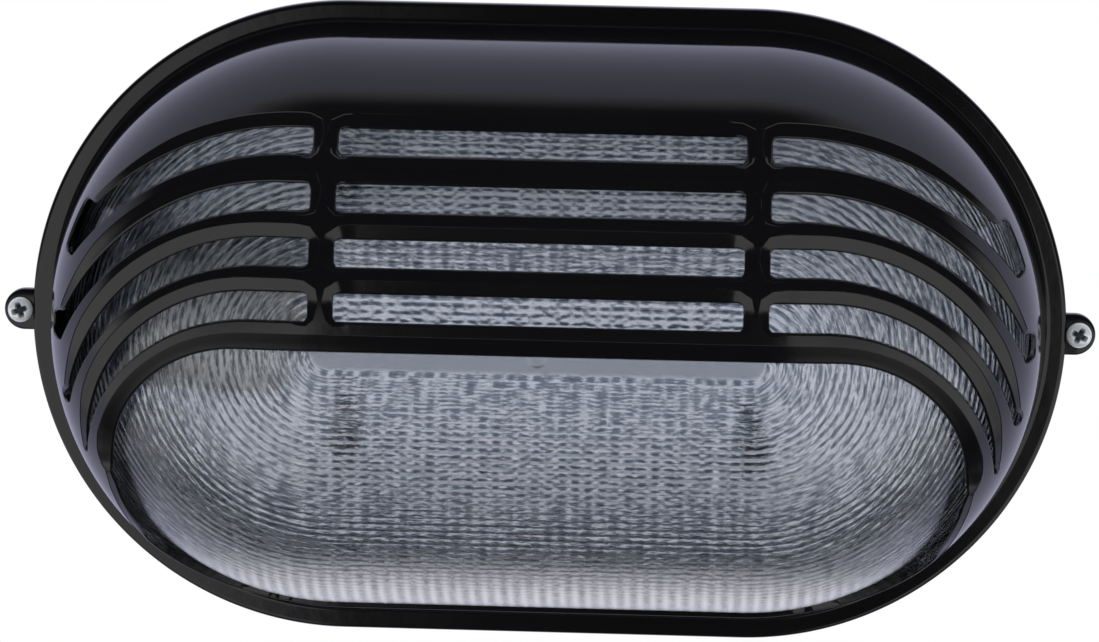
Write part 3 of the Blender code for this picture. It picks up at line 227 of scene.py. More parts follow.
def folded(flat, lengths, profile, sunk=0.0):
    """Wrap flat points round the oval: the distance from the straight becomes length along the profile.

    The point is then sunk along the profile's own normal. Returns 3-D points.
    """
    centre, away, reach = on_oval(flat)
    radius, depth = (np.interp(reach, lengths, column) for column in profile.T)
    after, before = reach + NORMAL_STEP, reach - NORMAL_STEP
    run, rise = (np.interp(after, lengths, column) - np.interp(before, lengths, column)
                 for column in profile.T)
    size = np.maximum(np.hypot(run, rise), 1e-12)
    radius = radius + sunk * rise / size
    depth = depth - sunk * run / size
    return np.column_stack([centre + radius * away[:, 0], -depth, radius * away[:, 1]])


def flattened(front, lengths, profile):
    """Lay (x, z) points of the front view on the flat sheet: radius becomes length along the profile."""
    centre, away, radius = on_oval(front)
    reach = np.interp(radius, profile[:, 0], lengths)
    return np.column_stack([centre, np.zeros(len(front))]) + away * reach[:, None]


def spaced(loop, spacing):
    """A closed outline with its points set at even distances."""
    shut = np.vstack([loop, loop[:1]])
    along = girth(shut)
    at = np.linspace(0, along[-1], max(12, int(along[-1] / spacing)), endpoint=False)
    return np.column_stack([np.interp(at, along, shut[:, i]) for i in (0, 1)])


def outward(loop):
    """Unit normals of a closed outline, pointing away from what it encloses."""
    ahead = np.roll(loop, -1, axis=0) - np.roll(loop, 1, axis=0)
    normal = np.column_stack([ahead[:, 1], -ahead[:, 0]]) / np.linalg.norm(ahead, axis=1)[:, None]
    area = np.sum(loop[:, 0] * np.roll(loop[:, 1], -1) - loop[:, 1] * np.roll(loop[:, 0], -1))
    return normal * np.sign(area)


def inside(points, loop):
    """Which points an outline encloses, by counting the edges that a ray along +X crosses."""
    found = np.zeros(len(points), bool)
    near = np.all((points > loop.min(0)) & (points < loop.max(0)), axis=1)
    x, z = points[near, 0][:, None], points[near, 1][:, None]
    x0, z0 = loop.T
    x1, z1 = np.roll(loop, -1, axis=0).T
    spans = (z0 > z) != (z1 > z)
    slope = np.where(z1 == z0, 1, z1 - z0)
    found[near] = np.sum(spans & (x < x0 + (z - z0) * (x1 - x0) / slope), axis=1) % 2 == 1
    return found


def clearance(points, others):
    """Distance from each point to the nearest of the others."""
    least = np.full(len(points), np.inf)
    for part in np.array_split(others, max(1, len(others) // 400)):
        gap = points[:, None, :] - part[None, :, :]
        least = np.minimum(least, np.sqrt(np.min(np.sum(gap * gap, axis=2), axis=1)))
    return least


def new_piece(name, points, faces, material, sharp=34.0):
    """A mesh object of numpy points and faces, smooth but for edges sharper than an angle."""
    mesh = bpy.data.meshes.new(name)
    mesh.from_pydata(np.asarray(points).tolist(), [], [list(face) for face in faces])
    shape = bmesh.new()
    shape.from_mesh(mesh)
    bmesh.ops.remove_doubles(shape, verts=shape.verts, dist=2e-6)
    bmesh.ops.recalc_face_normals(shape, faces=shape.faces)
    shape.to_mesh(mesh)
    shape.free()
    mesh.shade_smooth()
    mesh.set_sharp_from_angle(angle=math.radians(sharp))
    mesh.materials.append(material)
    made = bpy.data.objects.new(name, mesh)
    bpy.context.scene.collection.objects.link(made)
    return made


ROW_GAP = 0.0003
EDGE_ROUND = 0.0006
BAND_SLOPE = math.radians(20)
CREASE_STEP = 0.00018
RING_GAP = 0.00003
BORDER_ROW = 0.0001
FILLET_GAP = 0.0012
FILLET_TURN = 0.10


def casting(name, outside, lengths, inner, holes, edges, spacing, material, facing=1):
    """A wall between two sheets that fold round the oval, pierced by holes whose outer edges slope in.

    Flat points fill the sheet inside the oval where the profile ends: each hole's outline, copies of it
    moved outwards by r * (1 - cos t) and sunk by D + r * (1 - sin t) for t from 0 to a quarter turn, which
    is the edge's round of radius r, then copies over a band of width w that rises D = (w - r) tan(slope) up
    to a small crease step, then rows along the profile and an even triangular grid between them. A Delaunay
    triangulation joins them. It is folded once by the outside profile and once by the inner one, and a band
    of faces joins the two along every hole. Facing is 1 for an outside towards the room, -1 towards the wall.
    """
    reach = lengths[-1]
    turn = np.linspace(0, math.pi / 2, 4)
    per_hole = len(turn) + 3
    angle = np.linspace(-math.pi / 2, math.pi / 2, int(math.pi * reach / spacing) + 1)
    straight = np.linspace(HALF_STRAIGHT, -HALF_STRAIGHT, int(2 * HALF_STRAIGHT / spacing) + 1)[1:-1]

    def row(at):
        """A row along the profile: the same angles and places along the straight at every length."""
        half = np.vstack([np.column_stack([HALF_STRAIGHT + at * np.cos(angle), at * np.sin(angle)]),
                          np.column_stack([straight, np.full(len(straight), at)])])
        return np.vstack([half, -half])

    border = row(reach)
    rings = [(border, np.zeros(len(border)))]
    for hole, width in zip(holes, edges):
        normal = outward(hole)
        round_off = np.minimum(width, EDGE_ROUND)
        band = width - round_off
        crease = np.minimum(band * 0.25, CREASE_STEP)
        drop = crease + band * math.tan(BAND_SLOPE)
        steps = [(round_off * (1 - math.cos(t)), drop + round_off * (1 - math.sin(t))) for t in turn]
        steps += [(round_off + band / 2 + RING_GAP, (drop + crease) / 2),
                  (round_off + band + 2 * RING_GAP, crease),
                  (round_off + band + 3 * RING_GAP + crease / 2, 0 * crease)]
        rings += [(hole + normal * out[:, None], sunk) for out, sunk in steps]
    taken = np.vstack([ring for ring, _ in rings[1:]]) if holes else border[:1]
    pitch = spacing * math.sqrt(3) / 2
    wide, high = HALF_STRAIGHT + reach, reach
    rows = int(2 * high / pitch) + 1
    columns = int(2 * wide / spacing) + 1
    grid_z, grid_x = np.mgrid[0:rows, 0:columns]
    grid_x = (grid_x + (grid_z % 2) / 2) * spacing - wide
    grid = np.column_stack([grid_x.ravel(), (grid_z * pitch - high).ravel()])
    grid = grid[on_oval(grid)[2] < reach - spacing * 0.6]
    corners = lengths[1:-1][np.abs(np.diff(np.arctan2(*np.diff(outside, axis=0).T))) > FILLET_TURN]
    gaps = np.flatnonzero(np.diff(corners) > FILLET_GAP)
    beside = np.concatenate([corners[:1] - ROW_GAP, corners[gaps] + ROW_GAP, corners[gaps + 1] - ROW_GAP])
    rows_at = [at for at in np.sort(np.concatenate([corners, beside])) if at < reach - BORDER_ROW]
    keep = np.ones(len(grid), bool)
    for at in rows_at:
        keep &= np.abs(on_oval(grid)[2] - at) > spacing * 0.45
    extra = np.vstack([row(at) for at in rows_at] + [grid[keep]])
    following = np.roll(np.arange(len(border)), -1)
    ahead = np.concatenate([following + len(border) * i for i in range(len(rows_at))]
                           + [np.full(int(keep.sum()), -1)])
    allowed = clearance(extra, taken) > spacing * 0.5
    for i in range(len(holes)):
        outermost = rings[(i + 1) * per_hole][0]
        allowed &= ~inside(extra, outermost)
    far = allowed & (clearance(extra, taken) > spacing * 1.5)
    before = sum(len(ring) for ring, _ in rings)
    place_of = np.where(allowed, np.cumsum(allowed) - 1 + before, -1)
    chained = np.flatnonzero(far & (ahead >= 0))
    chained = chained[far[ahead[chained]]]
    chains = np.column_stack([place_of[chained], place_of[ahead[chained]]]).tolist()
    extra = extra[allowed]
    flat = np.vstack([ring for ring, _ in rings] + [extra])
    sunk = np.concatenate([depth for _, depth in rings] + [np.zeros(len(extra))])
    starts = np.cumsum([0] + [len(ring) for ring, _ in rings])
    fixed = [(start + i, start + (i + 1) % (end - start)) for start, end in zip(starts, starts[1:])
             for i in range(end - start)] + chains
    in_mm = [Vector(point) for point in (flat * 1000).tolist()]
    _, _, triangles, source, _, _ = delaunay_2d_cdt(in_mm, fixed, [], 1, 1e-5)
    first = np.array([ids[0] if ids else -1 for ids in source])
    triangles = first[np.array(triangles)]
    triangles = triangles[np.all(triangles >= 0, axis=1)]
    middle = flat[triangles].mean(axis=1)
    open_here = np.zeros(len(middle), bool)
    for hole in holes:
        open_here |= inside(middle, hole)
    open_here |= on_oval(middle)[2] > reach
    triangles = triangles[~open_here]
    front = folded(flat, lengths, outside, sunk * facing)
    rear = folded(flat, lengths, inner)
    rear[:len(border)] = front[:len(border)]
    total = len(flat)
    faces = triangles.tolist() + (triangles[:, ::-1] + total).tolist()
    for i, hole in enumerate(holes):
        edge = starts[1 + i * per_hole] + np.arange(len(hole))
        after = np.roll(edge, -1)
        faces += np.column_stack([edge, after, after + total, edge + total]).tolist()
    used = np.unique(np.concatenate([np.asarray(face) for face in faces]))
    points = np.vstack([front, rear])
    index = np.full(len(points), -1)
    index[used] = np.arange(len(used))
    faces = [index[list(face)].tolist() for face in faces]
    return new_piece(name, points[used], faces, material)


def painted(name, colour, roughness, peel):
    """Stoved gloss paint: a faint orange peel a few millimetres across and slightly uneven gloss."""
    made = bpy.data.materials.new(name)
    made.use_nodes = True
    tree = made.node_tree
    shader = tree.nodes["Principled BSDF"]
    shader.inputs["Base Color"].default_value = linear(colour)
    shader.inputs["IOR"].default_value = 1.55
    place = node(tree, "ShaderNodeTexCoord").outputs["Object"]
    cloud = node(tree, "ShaderNodeTexNoise", {"Vector": place, "Scale": 1 / 0.045, "Detail": 4.0})
    gloss = node(tree, "ShaderNodeMapRange", {0: cloud.outputs["Fac"], 1: 0.3, 2: 0.7, 3: roughness * 0.8,
                                              4: roughness * 1.25})
    tree.links.new(gloss.outputs[0], shader.inputs["Roughness"])
    skin = node(tree, "ShaderNodeTexNoise", {"Vector": place, "Scale": 1 / 0.0035, "Detail": 2.0})
    bump = node(tree, "ShaderNodeBump", {"Height": skin.outputs["Fac"], "Strength": peel, "Distance": 0.0002})
    tree.links.new(bump.outputs[0], shader.inputs["Normal"])
    return made


SLOT_COUNT = 4
SLOT_TOP_Z = 0.05609
SLOT_PITCH = 0.01349
SLOT_HEIGHT = 0.0071
SLOT_END_RADIUS = 0.0718
SLOT_CORNER = 0.0009
BAR_X = 0.0537
BAR_WIDTH = 0.0064
BEND_X_TOP = 0.0610
BEND_X_EYE = 0.0744
BEND_RADIUS_TOP = 0.0730
BEND_RADIUS_EYE = 0.0347
EYE_TOP_Z = 0.00087
EYE_SLOPE_Z = (-0.0768, -0.0388, 0.00087)
EYE_SLOPE_HEIGHT = (0.0055, 0.0415, 0.0604)
WALL_BASE_RADIUS = 0.0778
COVER_WALL = 0.0022
RECESS_RADIUS = 0.0794
BLADE_BAND = 0.0034
EYE_BAND = 0.0045
BAR_BAND = 0.0025
CRISP_EDGE = 0.0004
SLOT_LAST_RADIUS = 0.0727
WALL_FILLET = 0.0010
RIM_EDGE = 0.0009
FINE_SPACING = 0.0005
EDGE_SPACING = 0.0014
COVER_SPACING = 0.0024

gloss_black = painted("gloss_black_stoved_paint", "#0B0B0D", 0.10, 0.05)

dome_outside = superellipse(DOME_RADIUS, DOME_DEPTH, DOME_FOOT)
cover_outside = np.vstack([dome_outside[:-1], rounded(
    [(DOME_RADIUS, DOME_FOOT), (WALL_BASE_RADIUS, RIM_FRONT), (RIM_RADIUS, RIM_FRONT),
     (RIM_RADIUS, COVER_BACK)], [WALL_FILLET, RIM_EDGE])])
cover_lengths = girth(cover_outside)
dome_inside = superellipse(DOME_RADIUS - COVER_WALL, DOME_DEPTH - COVER_WALL, DOME_FOOT)


def matched(lengths, outer, inner, pairs):
    """An inner profile resampled at the outer one's lengths: between matched points both run evenly."""
    inner_lengths = girth(inner)

    def nearest(profile, point):
        """The profile's point that lies nearest to a given one."""
        return np.argmin(np.linalg.norm(profile - np.array(point), axis=1))

    at = np.interp(lengths, [lengths[nearest(outer, point)] for point, _ in pairs],
                   [inner_lengths[nearest(inner, point)] for _, point in pairs])
    return np.column_stack([np.interp(at, inner_lengths, inner[:, i]) for i in (0, 1)])


SHEER = 0.0705
sheer_out = DOME_FOOT + DOME_DEPTH * (1 - (SHEER / DOME_RADIUS) ** DOME_POWER) ** (1 / DOME_POWER)
sheer_in = DOME_FOOT + (DOME_DEPTH - COVER_WALL) * (
    1 - (SHEER / (DOME_RADIUS - COVER_WALL)) ** DOME_POWER) ** (1 / DOME_POWER)
inner_run = np.vstack([dome_inside, [(WALL_BASE_RADIUS - COVER_WALL, COVER_SEAT), (RECESS_RADIUS, COVER_SEAT),
                                     (RECESS_RADIUS, COVER_BACK), (RIM_RADIUS, COVER_BACK)]])
cover_inside = matched(cover_lengths, cover_outside, inner_run, [
    ((0, DOME_FOOT + DOME_DEPTH), (0, DOME_FOOT + DOME_DEPTH - COVER_WALL)),
    ((SHEER, sheer_out), (SHEER, sheer_in)),
    ((DOME_RADIUS, DOME_FOOT), (DOME_RADIUS - COVER_WALL, DOME_FOOT)),
    ((WALL_BASE_RADIUS, RIM_FRONT), (WALL_BASE_RADIUS - COVER_WALL, COVER_SEAT)),
    ((RIM_RADIUS, RIM_FRONT), (RECESS_RADIUS, COVER_SEAT)),
    ((RIM_RADIUS, COVER_BACK), (RIM_RADIUS, COVER_BACK))])
flat_dome = cover_outside[:, 0] < SHEER
cover_inside[flat_dome, 0] = cover_outside[flat_dome, 0]
cover_inside[flat_dome, 1] = np.interp(cover_outside[flat_dome, 0], dome_inside[:, 0], dome_inside[:, 1])


def bend(top_z, drop, limit):
    """A slot edge beyond its bar, in the front view.

    It is straight to x = start, then an arc of radius R: (start + R sin a, top - drop - R (1 - cos a)), until
    it meets the oval of radius limit. Start and R run evenly from the top slot to the opening.
    """
    share = (SLOT_TOP_Z - top_z) / (SLOT_TOP_Z - EYE_TOP_Z)
    start = BEND_X_TOP + share * (BEND_X_EYE - BEND_X_TOP)
    radius = BEND_RADIUS_TOP + share * (BEND_RADIUS_EYE - BEND_RADIUS_TOP)
    angle = np.linspace(0, math.pi / 2, 400)
    arc = np.column_stack([start + radius * np.sin(angle), top_z - drop - radius * (1 - np.cos(angle))])
    return arc[np.hypot(arc[:, 0] - HALF_STRAIGHT, arc[:, 1]) < limit]


def slot_outlines():
    """Outlines of all slots in the front view: a middle box and two bent side slots in each row."""
    found = []
    for row in range(SLOT_COUNT):
        top = SLOT_TOP_Z - row * SLOT_PITCH
        low = top - SLOT_HEIGHT
        out = BAR_X - BAR_WIDTH / 2
        box = [(0, top), (out, top), (out, low), (-out, low), (-out, top), (0, top)]
        found.append(rounded(box, [SLOT_CORNER] * 4)[:-1])
        start = BAR_X + BAR_WIDTH / 2
        limit = SLOT_END_RADIUS - SLOT_HEIGHT / 4
        upper = bend(top, 0, limit)
        lower = bend(top, SLOT_HEIGHT, limit)
        centre = (upper[-1] + lower[-1]) / 2
        half = (upper[-1] - lower[-1]) / 2
        ahead = np.array([-half[1], half[0]]) * -1
        turn = np.linspace(0, math.pi, 12)[1:-1, None]
        cap = centre + half * np.cos(turn) + ahead * np.sin(turn)
        square = rounded([(start + 0.003, low), (start, low), (start, top), (start + 0.003, top)],
                         [SLOT_CORNER] * 2)
        side = np.vstack([upper, cap, lower[::-1], square])
        beyond, away, reached = on_oval(side)
        side = np.column_stack([beyond, 0 * beyond]) + away * np.minimum(reached, SLOT_LAST_RADIUS)[:, None]
        found += [side, side * [-1, 1]]
    return found


def eye_outline():
    """The eyelid opening on the flat sheet: bent upper corners, and a lower edge where a slope cuts the dome.

    The slope gives, for each height z, how far the lip stands in front of the rim. Along each direction away
    from the oval's straight the edge is the outermost point that stands further forward than the slope.
    """
    top = bend(EYE_TOP_Z, 0, 1.0)
    direction = np.linspace(0, math.pi / 2, 90)
    away = np.column_stack([np.cos(direction), -np.sin(direction)])
    ridge = cover_outside[:, 1] - RIM_FRONT
    height = -cover_outside[:, 0][None, :] * np.sin(direction)[:, None]
    slope = np.interp(height, EYE_SLOPE_Z, EYE_SLOPE_HEIGHT)
    ahead = ridge[None, :] > slope
    last = cover_lengths[::-1][np.argmax(ahead[:, ::-1], axis=1)]
    lower = np.array([HALF_STRAIGHT, 0]) + away * last[:, None]
    flat_top = flattened(top, cover_lengths, cover_outside)
    beyond = lower[:, 1] < flat_top[:, 1].min()
    inner = lower[:, 0] < flat_top[:, 0].max()
    right = np.vstack([flat_top, lower[beyond & inner]])
    return np.vstack([right, (right * [-1, 1])[::-1]])


outlines = [flattened(spaced(loop, FINE_SPACING), cover_lengths, cover_outside) for loop in slot_outlines()]
outlines.append(eye_outline())
outlines = [spaced(loop, EDGE_SPACING) for loop in outlines]

# How wide each edge slopes in: wide along the upper edges, crisp along the lower ones and towards the slots'
# ends, and never more than a share of the distance to the next opening.
bands = []
for i, loop in enumerate(outlines):
    normal = outward(loop)
    others = np.vstack([other for j, other in enumerate(outlines) if j != i])
    rises = np.clip((normal[:, 1] + 0.20) / 0.5, 0, 1)
    by_bar = (np.abs(np.abs(loop[:, 0]) - BAR_X) < BAR_WIDTH / 2 + 0.0003) & (np.abs(normal[:, 0]) > 0.5)
    full = EYE_BAND if i == len(outlines) - 1 else BLADE_BAND
    radius = np.interp(on_oval(loop)[2], cover_lengths, cover_outside[:, 0])
    near_end = np.clip((SLOT_END_RADIUS + 0.0012 - radius) / 0.010, 0, 1) if i < len(outlines) - 1 else 1.0
    wanted = np.where(by_bar, BAR_BAND, CRISP_EDGE + (full - CRISP_EDGE) * rises * near_end)
    blur = np.ones(5) / 5
    wanted = np.convolve(np.concatenate([wanted[-2:], wanted, wanted[:2]]), blur, "valid")
    room = np.where(by_bar, 0.40, np.where(rises > 0.5, 0.58, 0.15))
    bands.append(np.minimum(wanted, clearance(loop, others) * room))
cover = casting("eyelid_cover_casting", cover_outside, cover_lengths, cover_inside, outlines, bands,
                COVER_SPACING, gloss_black)
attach(cover, "cover")
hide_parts("eyelid_cover")


# Glass: a pressed clear bowl, smooth outside and ribbed inside. The ribs run round the oval, 2 mm apart,
# and shallow flutes cross them along the straight, so it breaks what lies behind into small sparkles.
GLASS_RADIUS = 0.0724
GLASS_DEPTH = 0.0556
GLASS_WALL = 0.0035
GLASS_BACK = 0.0356
GLASS_SEAT = 0.0386
GLASS_FLANGE = 0.0788
GLASS_DRAFT = 0.0008
RIB_PITCH = 0.0020
RIB_HEIGHT = 0.00012
RIB_STEPS = 6
PLAIN_STRIP = 0.0040
FLUTE_PITCH = 0.0033
NUB_RADIUS = 0.0023
NUB_THICKNESS = 0.00045
NUB_EDGE = 0.0006
NUB_GRID = 0.0033
SHOULDER_FILLET = 0.0012
FLANGE_EDGE = 0.0006
RUN_STEPS = 24
TURN_STEPS = 72


def sweep(name, profile, material, stations, turn=TURN_STEPS, sharp=34.0):
    """Carry a closed (radius, depth) profile round the oval.

    The path is a straight through the stations along X, half a circle, the straight back and the other half
    circle; a point of radius r stands r away from the oval's straight, so at r = 0 the straights meet.
    """
    profile = np.asarray(profile)
    angle = np.linspace(-math.pi / 2, math.pi / 2, turn + 1)
    x = np.concatenate([stations, np.full(turn - 1, HALF_STRAIGHT)])
    away = np.vstack([np.tile([0.0, -1.0], (len(stations), 1)),
                      np.column_stack([np.cos(angle), np.sin(angle)])[1:-1]])
    centre = np.concatenate([x, -x])
    away = np.vstack([away, -away])
    radius, depth = profile[:, 0][None, :], profile[:, 1][None, :]
    grid = np.stack([centre[:, None] + radius * away[:, :1], -depth + 0 * centre[:, None],
                     radius * away[:, 1:]], axis=2)
    rows, columns = grid.shape[:2]
    number = np.arange(rows * columns).reshape(rows, columns)
    nearer = np.roll(number, -1, axis=0)
    quads = np.stack([number[:, :-1], nearer[:, :-1], nearer[:, 1:], number[:, 1:]], axis=2)
    return new_piece(name, grid.reshape(-1, 3), quads.reshape(-1, 4).tolist(), material, sharp)


def ribbed(section):
    """Press ribs into a section: at length s it steps inwards by h (1 - cos(2 pi s / pitch)) / 2."""
    along = girth(section)
    count = int(along[-1] / RIB_PITCH) * RIB_STEPS
    at = np.linspace(0, along[-1], count + 1)
    points = np.column_stack([np.interp(at, along, section[:, i]) for i in (0, 1)])
    ahead = np.gradient(points, axis=0)
    normal = np.column_stack([ahead[:, 1], -ahead[:, 0]]) / np.linalg.norm(ahead, axis=1)[:, None]
    fade = np.clip((at - PLAIN_STRIP) / RIB_PITCH, 0, 1) * np.clip((along[-1] - at) / RIB_PITCH, 0, 1)
    inward = RIB_HEIGHT * (1 - np.cos(2 * math.pi * (at - PLAIN_STRIP) / RIB_PITCH)) / 2 * fade
    points = points + normal * inward[:, None]
    points[0, 0] = 0
    return points


# Clear pressed soda glass. Its cast ribs and flutes act as small lenses, each showing something bright or
# something dark; this is painted light in the glass's colour, as dark and clear short streaks that follow the
# ribs round the ends and as rows of dashes between. At the foot of the bowl, where the glass is seen edge on,
# its colour is painted white and it lets less through, a painted brightness with a scallop at every flute.
STREAK_LENGTH = 0.0036
STREAK_WIDTH = 0.0008
STREAK_PAINTED_DARK, STREAK_CLEAR = "#56616E", "#FFFFFF"
STREAK_LOW, STREAK_HIGH = 0.32, 0.565
RIB_SHARE = 0.105
DASH_SHARE = 0.09
DASH_FADE_START, DASH_FADE_END = HALF_STRAIGHT - 0.004, HALF_STRAIGHT + 0.010
PLAIN_SHADE = 0.50
PLAIN_FADE = 0.0006
FOOT_START, FOOT_END = 0.050, 0.067
FOOT_PAINTED_LIGHT_SHARE = 0.60
SCALLOP = 0.20
HALVES_APART = 7.0

clear_glass = bpy.data.materials.new("clear_pressed_soda_glass")
clear_glass.use_nodes = True
tree = clear_glass.node_tree
shader = tree.nodes["Principled BSDF"]
shader.inputs["Roughness"].default_value = 0.02
shader.inputs["IOR"].default_value = 1.52

# Where a point lies on the bowl, in metres: along the oval, and out from the crown over the dome.
MATH = "ShaderNodeMath"
place = node(tree, "ShaderNodeTexCoord").outputs["Object"]
axes = node(tree, "ShaderNodeSeparateXYZ", {0: place}).outputs
off_middle = node(tree, MATH, {0: axes["X"]}, operation="ABSOLUTE").outputs[0]
beyond = node(tree, MATH, {0: off_middle, 1: HALF_STRAIGHT}, operation="SUBTRACT").outputs[0]
beyond = node(tree, MATH, {0: beyond, 1: 0.0}, operation="MAXIMUM").outputs[0]
up = node(tree, MATH, {0: axes["Z"]}, operation="ABSOLUTE").outputs[0]
from_straight = node(tree, "ShaderNodeCombineXYZ", {0: beyond, 1: up}).outputs[0]
radius = node(tree, "ShaderNodeVectorMath", {0: from_straight}, operation="LENGTH").outputs["Value"]
height = node(tree, MATH, {0: axes["Y"], 1: -1.0, 2: -DOME_FOOT}, operation="MULTIPLY_ADD").outputs[0]
sideways = node(tree, MATH, {0: radius, 1: GLASS_RADIUS}, operation="DIVIDE").outputs[0]
forward = node(tree, MATH, {0: height, 1: GLASS_DEPTH}, operation="DIVIDE").outputs[0]
tilt = node(tree, MATH, {0: sideways, 1: forward}, operation="ARCTAN2").outputs[0]
out = node(tree, MATH, {0: tilt, 1: GLASS_RADIUS}, operation="MULTIPLY").outputs[0]
turned = node(tree, MATH, {0: beyond, 1: up}, operation="ARCTAN2").outputs[0]
on_run = node(tree, MATH, {0: off_middle, 1: HALF_STRAIGHT}, operation="MINIMUM").outputs[0]
along = node(tree, MATH, {0: turned, 1: radius, 2: on_run}, operation="MULTIPLY_ADD").outputs[0]
side = node(tree, MATH, {0: axes["X"]}, operation="SIGN").outputs[0]
along = node(tree, MATH, {0: along, 1: side}, operation="MULTIPLY").outputs[0]
half = node(tree, MATH, {0: axes["Z"]}, operation="SIGN").outputs[0]

# Painted light and dark streaks: a noise stretched along the ribs, with the ribs' and the flutes' own waves
# added.
on_bowl = node(tree, "ShaderNodeCombineXYZ", {0: along, 1: out, 2: half}).outputs[0]
on_bowl = node(tree, "ShaderNodeVectorMath", {0: on_bowl, 1: (STREAK_LENGTH, STREAK_WIDTH, 1 / HALVES_APART)},
               operation="DIVIDE").outputs[0]
streak = node(tree, "ShaderNodeTexNoise", {"Vector": on_bowl, "Scale": 1.0, "Detail": 2.5, "Roughness": 0.6,
                                           "Distortion": 0.15}).outputs["Fac"]
rib_turn = node(tree, MATH, {0: out, 1: 2 * math.pi / RIB_PITCH}, operation="MULTIPLY").outputs[0]
rib_wave = node(tree, MATH, {0: rib_turn}, operation="COSINE").outputs[0]
flute_turn = node(tree, MATH, {0: along, 1: 2 * math.pi / FLUTE_PITCH}, operation="MULTIPLY").outputs[0]
flute_wave = node(tree, MATH, {0: flute_turn}, operation="COSINE").outputs[0]
dash_share = node(tree, "ShaderNodeMapRange", {0: off_middle, 1: DASH_FADE_START, 2: DASH_FADE_END,
                                               3: DASH_SHARE, 4: DASH_SHARE / 4},
                  interpolation_type="SMOOTHSTEP").outputs[0]
lens = node(tree, MATH, {0: rib_wave, 1: RIB_SHARE, 2: streak}, operation="MULTIPLY_ADD").outputs[0]
dashes = node(tree, MATH, {0: flute_wave, 1: rib_wave}, operation="MULTIPLY").outputs[0]
lens = node(tree, MATH, {0: dashes, 1: dash_share, 2: lens}, operation="MULTIPLY_ADD").outputs[0]
shade = node(tree, "ShaderNodeMapRange", {0: lens, 1: STREAK_LOW, 2: STREAK_HIGH},
             interpolation_type="SMOOTHSTEP").outputs[0]

# A plain strip along the crown, and the foot painted bright.
ribs = node(tree, "ShaderNodeMapRange", {0: out, 1: PLAIN_STRIP - PLAIN_FADE, 2: PLAIN_STRIP + PLAIN_FADE},
            interpolation_type="SMOOTHSTEP").outputs[0]
shade = node(tree, "ShaderNodeMix", {0: ribs, 2: PLAIN_SHADE, 3: shade}).outputs[0]
foot = node(tree, "ShaderNodeMapRange", {0: axes["Z"], 1: -FOOT_END, 2: -FOOT_START, 3: 1.0, 4: 0.0},
            interpolation_type="SMOOTHSTEP").outputs[0]
scallop = node(tree, MATH, {0: flute_wave, 1: SCALLOP, 2: 1 - SCALLOP}, operation="MULTIPLY_ADD").outputs[0]
# Painted brightness at the foot, where the glass is seen edge on, with a scallop at every flute.
painted_bright_foot = node(tree, MATH, {0: foot, 1: scallop}, operation="MULTIPLY").outputs[0]
shade = node(tree, MATH, {0: shade, 1: painted_bright_foot}, operation="MAXIMUM").outputs[0]
# The glass's colour mixes the painted dark streaks with clear glass, and takes the foot's painted brightness.
tint = node(tree, "ShaderNodeMix", {0: shade, 6: linear(STREAK_PAINTED_DARK), 7: linear(STREAK_CLEAR)},
            data_type="RGBA").outputs[2]
tree.links.new(tint, shader.inputs["Base Color"])
# The foot lets less light through, to go with its painted brightness.
clear = node(tree, MATH, {0: painted_bright_foot, 1: -FOOT_PAINTED_LIGHT_SHARE, 2: 1.0}, operation="MULTIPLY_ADD").outputs[0]
tree.links.new(clear, shader.inputs["Transmission Weight"])

# Fire polish leaves faint ripples a few millimetres apart.
ripple = node(tree, "ShaderNodeTexNoise", {"Vector": place, "Scale": 1 / 0.006, "Detail": 2.0}).outputs["Fac"]
pressed = node(tree, "ShaderNodeBump", {"Height": streak, "Strength": 0.3, "Distance": 0.0003}).outputs[0]
polished = node(tree, "ShaderNodeBump", {"Height": ripple, "Normal": pressed, "Strength": 0.15,
                                         "Distance": 0.0004}).outputs[0]
tree.links.new(polished, shader.inputs["Normal"])

bowl_outside = superellipse(GLASS_RADIUS, GLASS_DEPTH, DOME_FOOT, 60)
near_middle = np.linspace(0.0003, NUB_GRID, 11)
crown = DOME_FOOT + GLASS_DEPTH * (1 - (near_middle / GLASS_RADIUS) ** DOME_POWER) ** (1 / DOME_POWER)
bowl_outside = np.vstack([bowl_outside[:1], np.column_stack([near_middle, crown]), bowl_outside[1:]])
bowl_inside = ribbed(superellipse(GLASS_RADIUS - GLASS_WALL, GLASS_DEPTH - GLASS_WALL, DOME_FOOT))
shoulder = rounded([bowl_outside[-1], (GLASS_RADIUS + GLASS_DRAFT, GLASS_SEAT), (GLASS_FLANGE, GLASS_SEAT),
                    (GLASS_FLANGE, GLASS_BACK), (GLASS_RADIUS - GLASS_WALL + GLASS_DRAFT, GLASS_BACK),
                    bowl_inside[-1]], [SHOULDER_FILLET, FLANGE_EDGE, FLANGE_EDGE, FLANGE_EDGE])
along_straight = np.linspace(-HALF_STRAIGHT, HALF_STRAIGHT, RUN_STEPS + 1)
along_straight = np.sort(np.concatenate([along_straight[np.abs(along_straight) > NUB_GRID + 0.0001],
                                         np.linspace(-NUB_GRID, NUB_GRID, 23)]))
bowl = np.vstack([bowl_outside[:-1], shoulder[:-1], bowl_inside[::-1]])
glass = sweep("ribbed_glass_bowl", bowl, clear_glass, along_straight)

# The press mark on the crown: a flat round nub, raised from the finished bowl.
points = np.empty(len(glass.data.vertices) * 3)
glass.data.vertices.foreach_get("co", points)
points = points.reshape(-1, 3)
from_nub = np.hypot(points[:, 0], points[:, 2])
on_front = points[:, 1] < -(DOME_FOOT + GLASS_DEPTH - 0.0012)
points[:, 1] -= NUB_THICKNESS * np.clip((NUB_RADIUS - from_nub) / NUB_EDGE, 0, 1) * on_front
glass.data.vertices.foreach_set("co", points.ravel())
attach(glass, "cover")
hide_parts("glass")

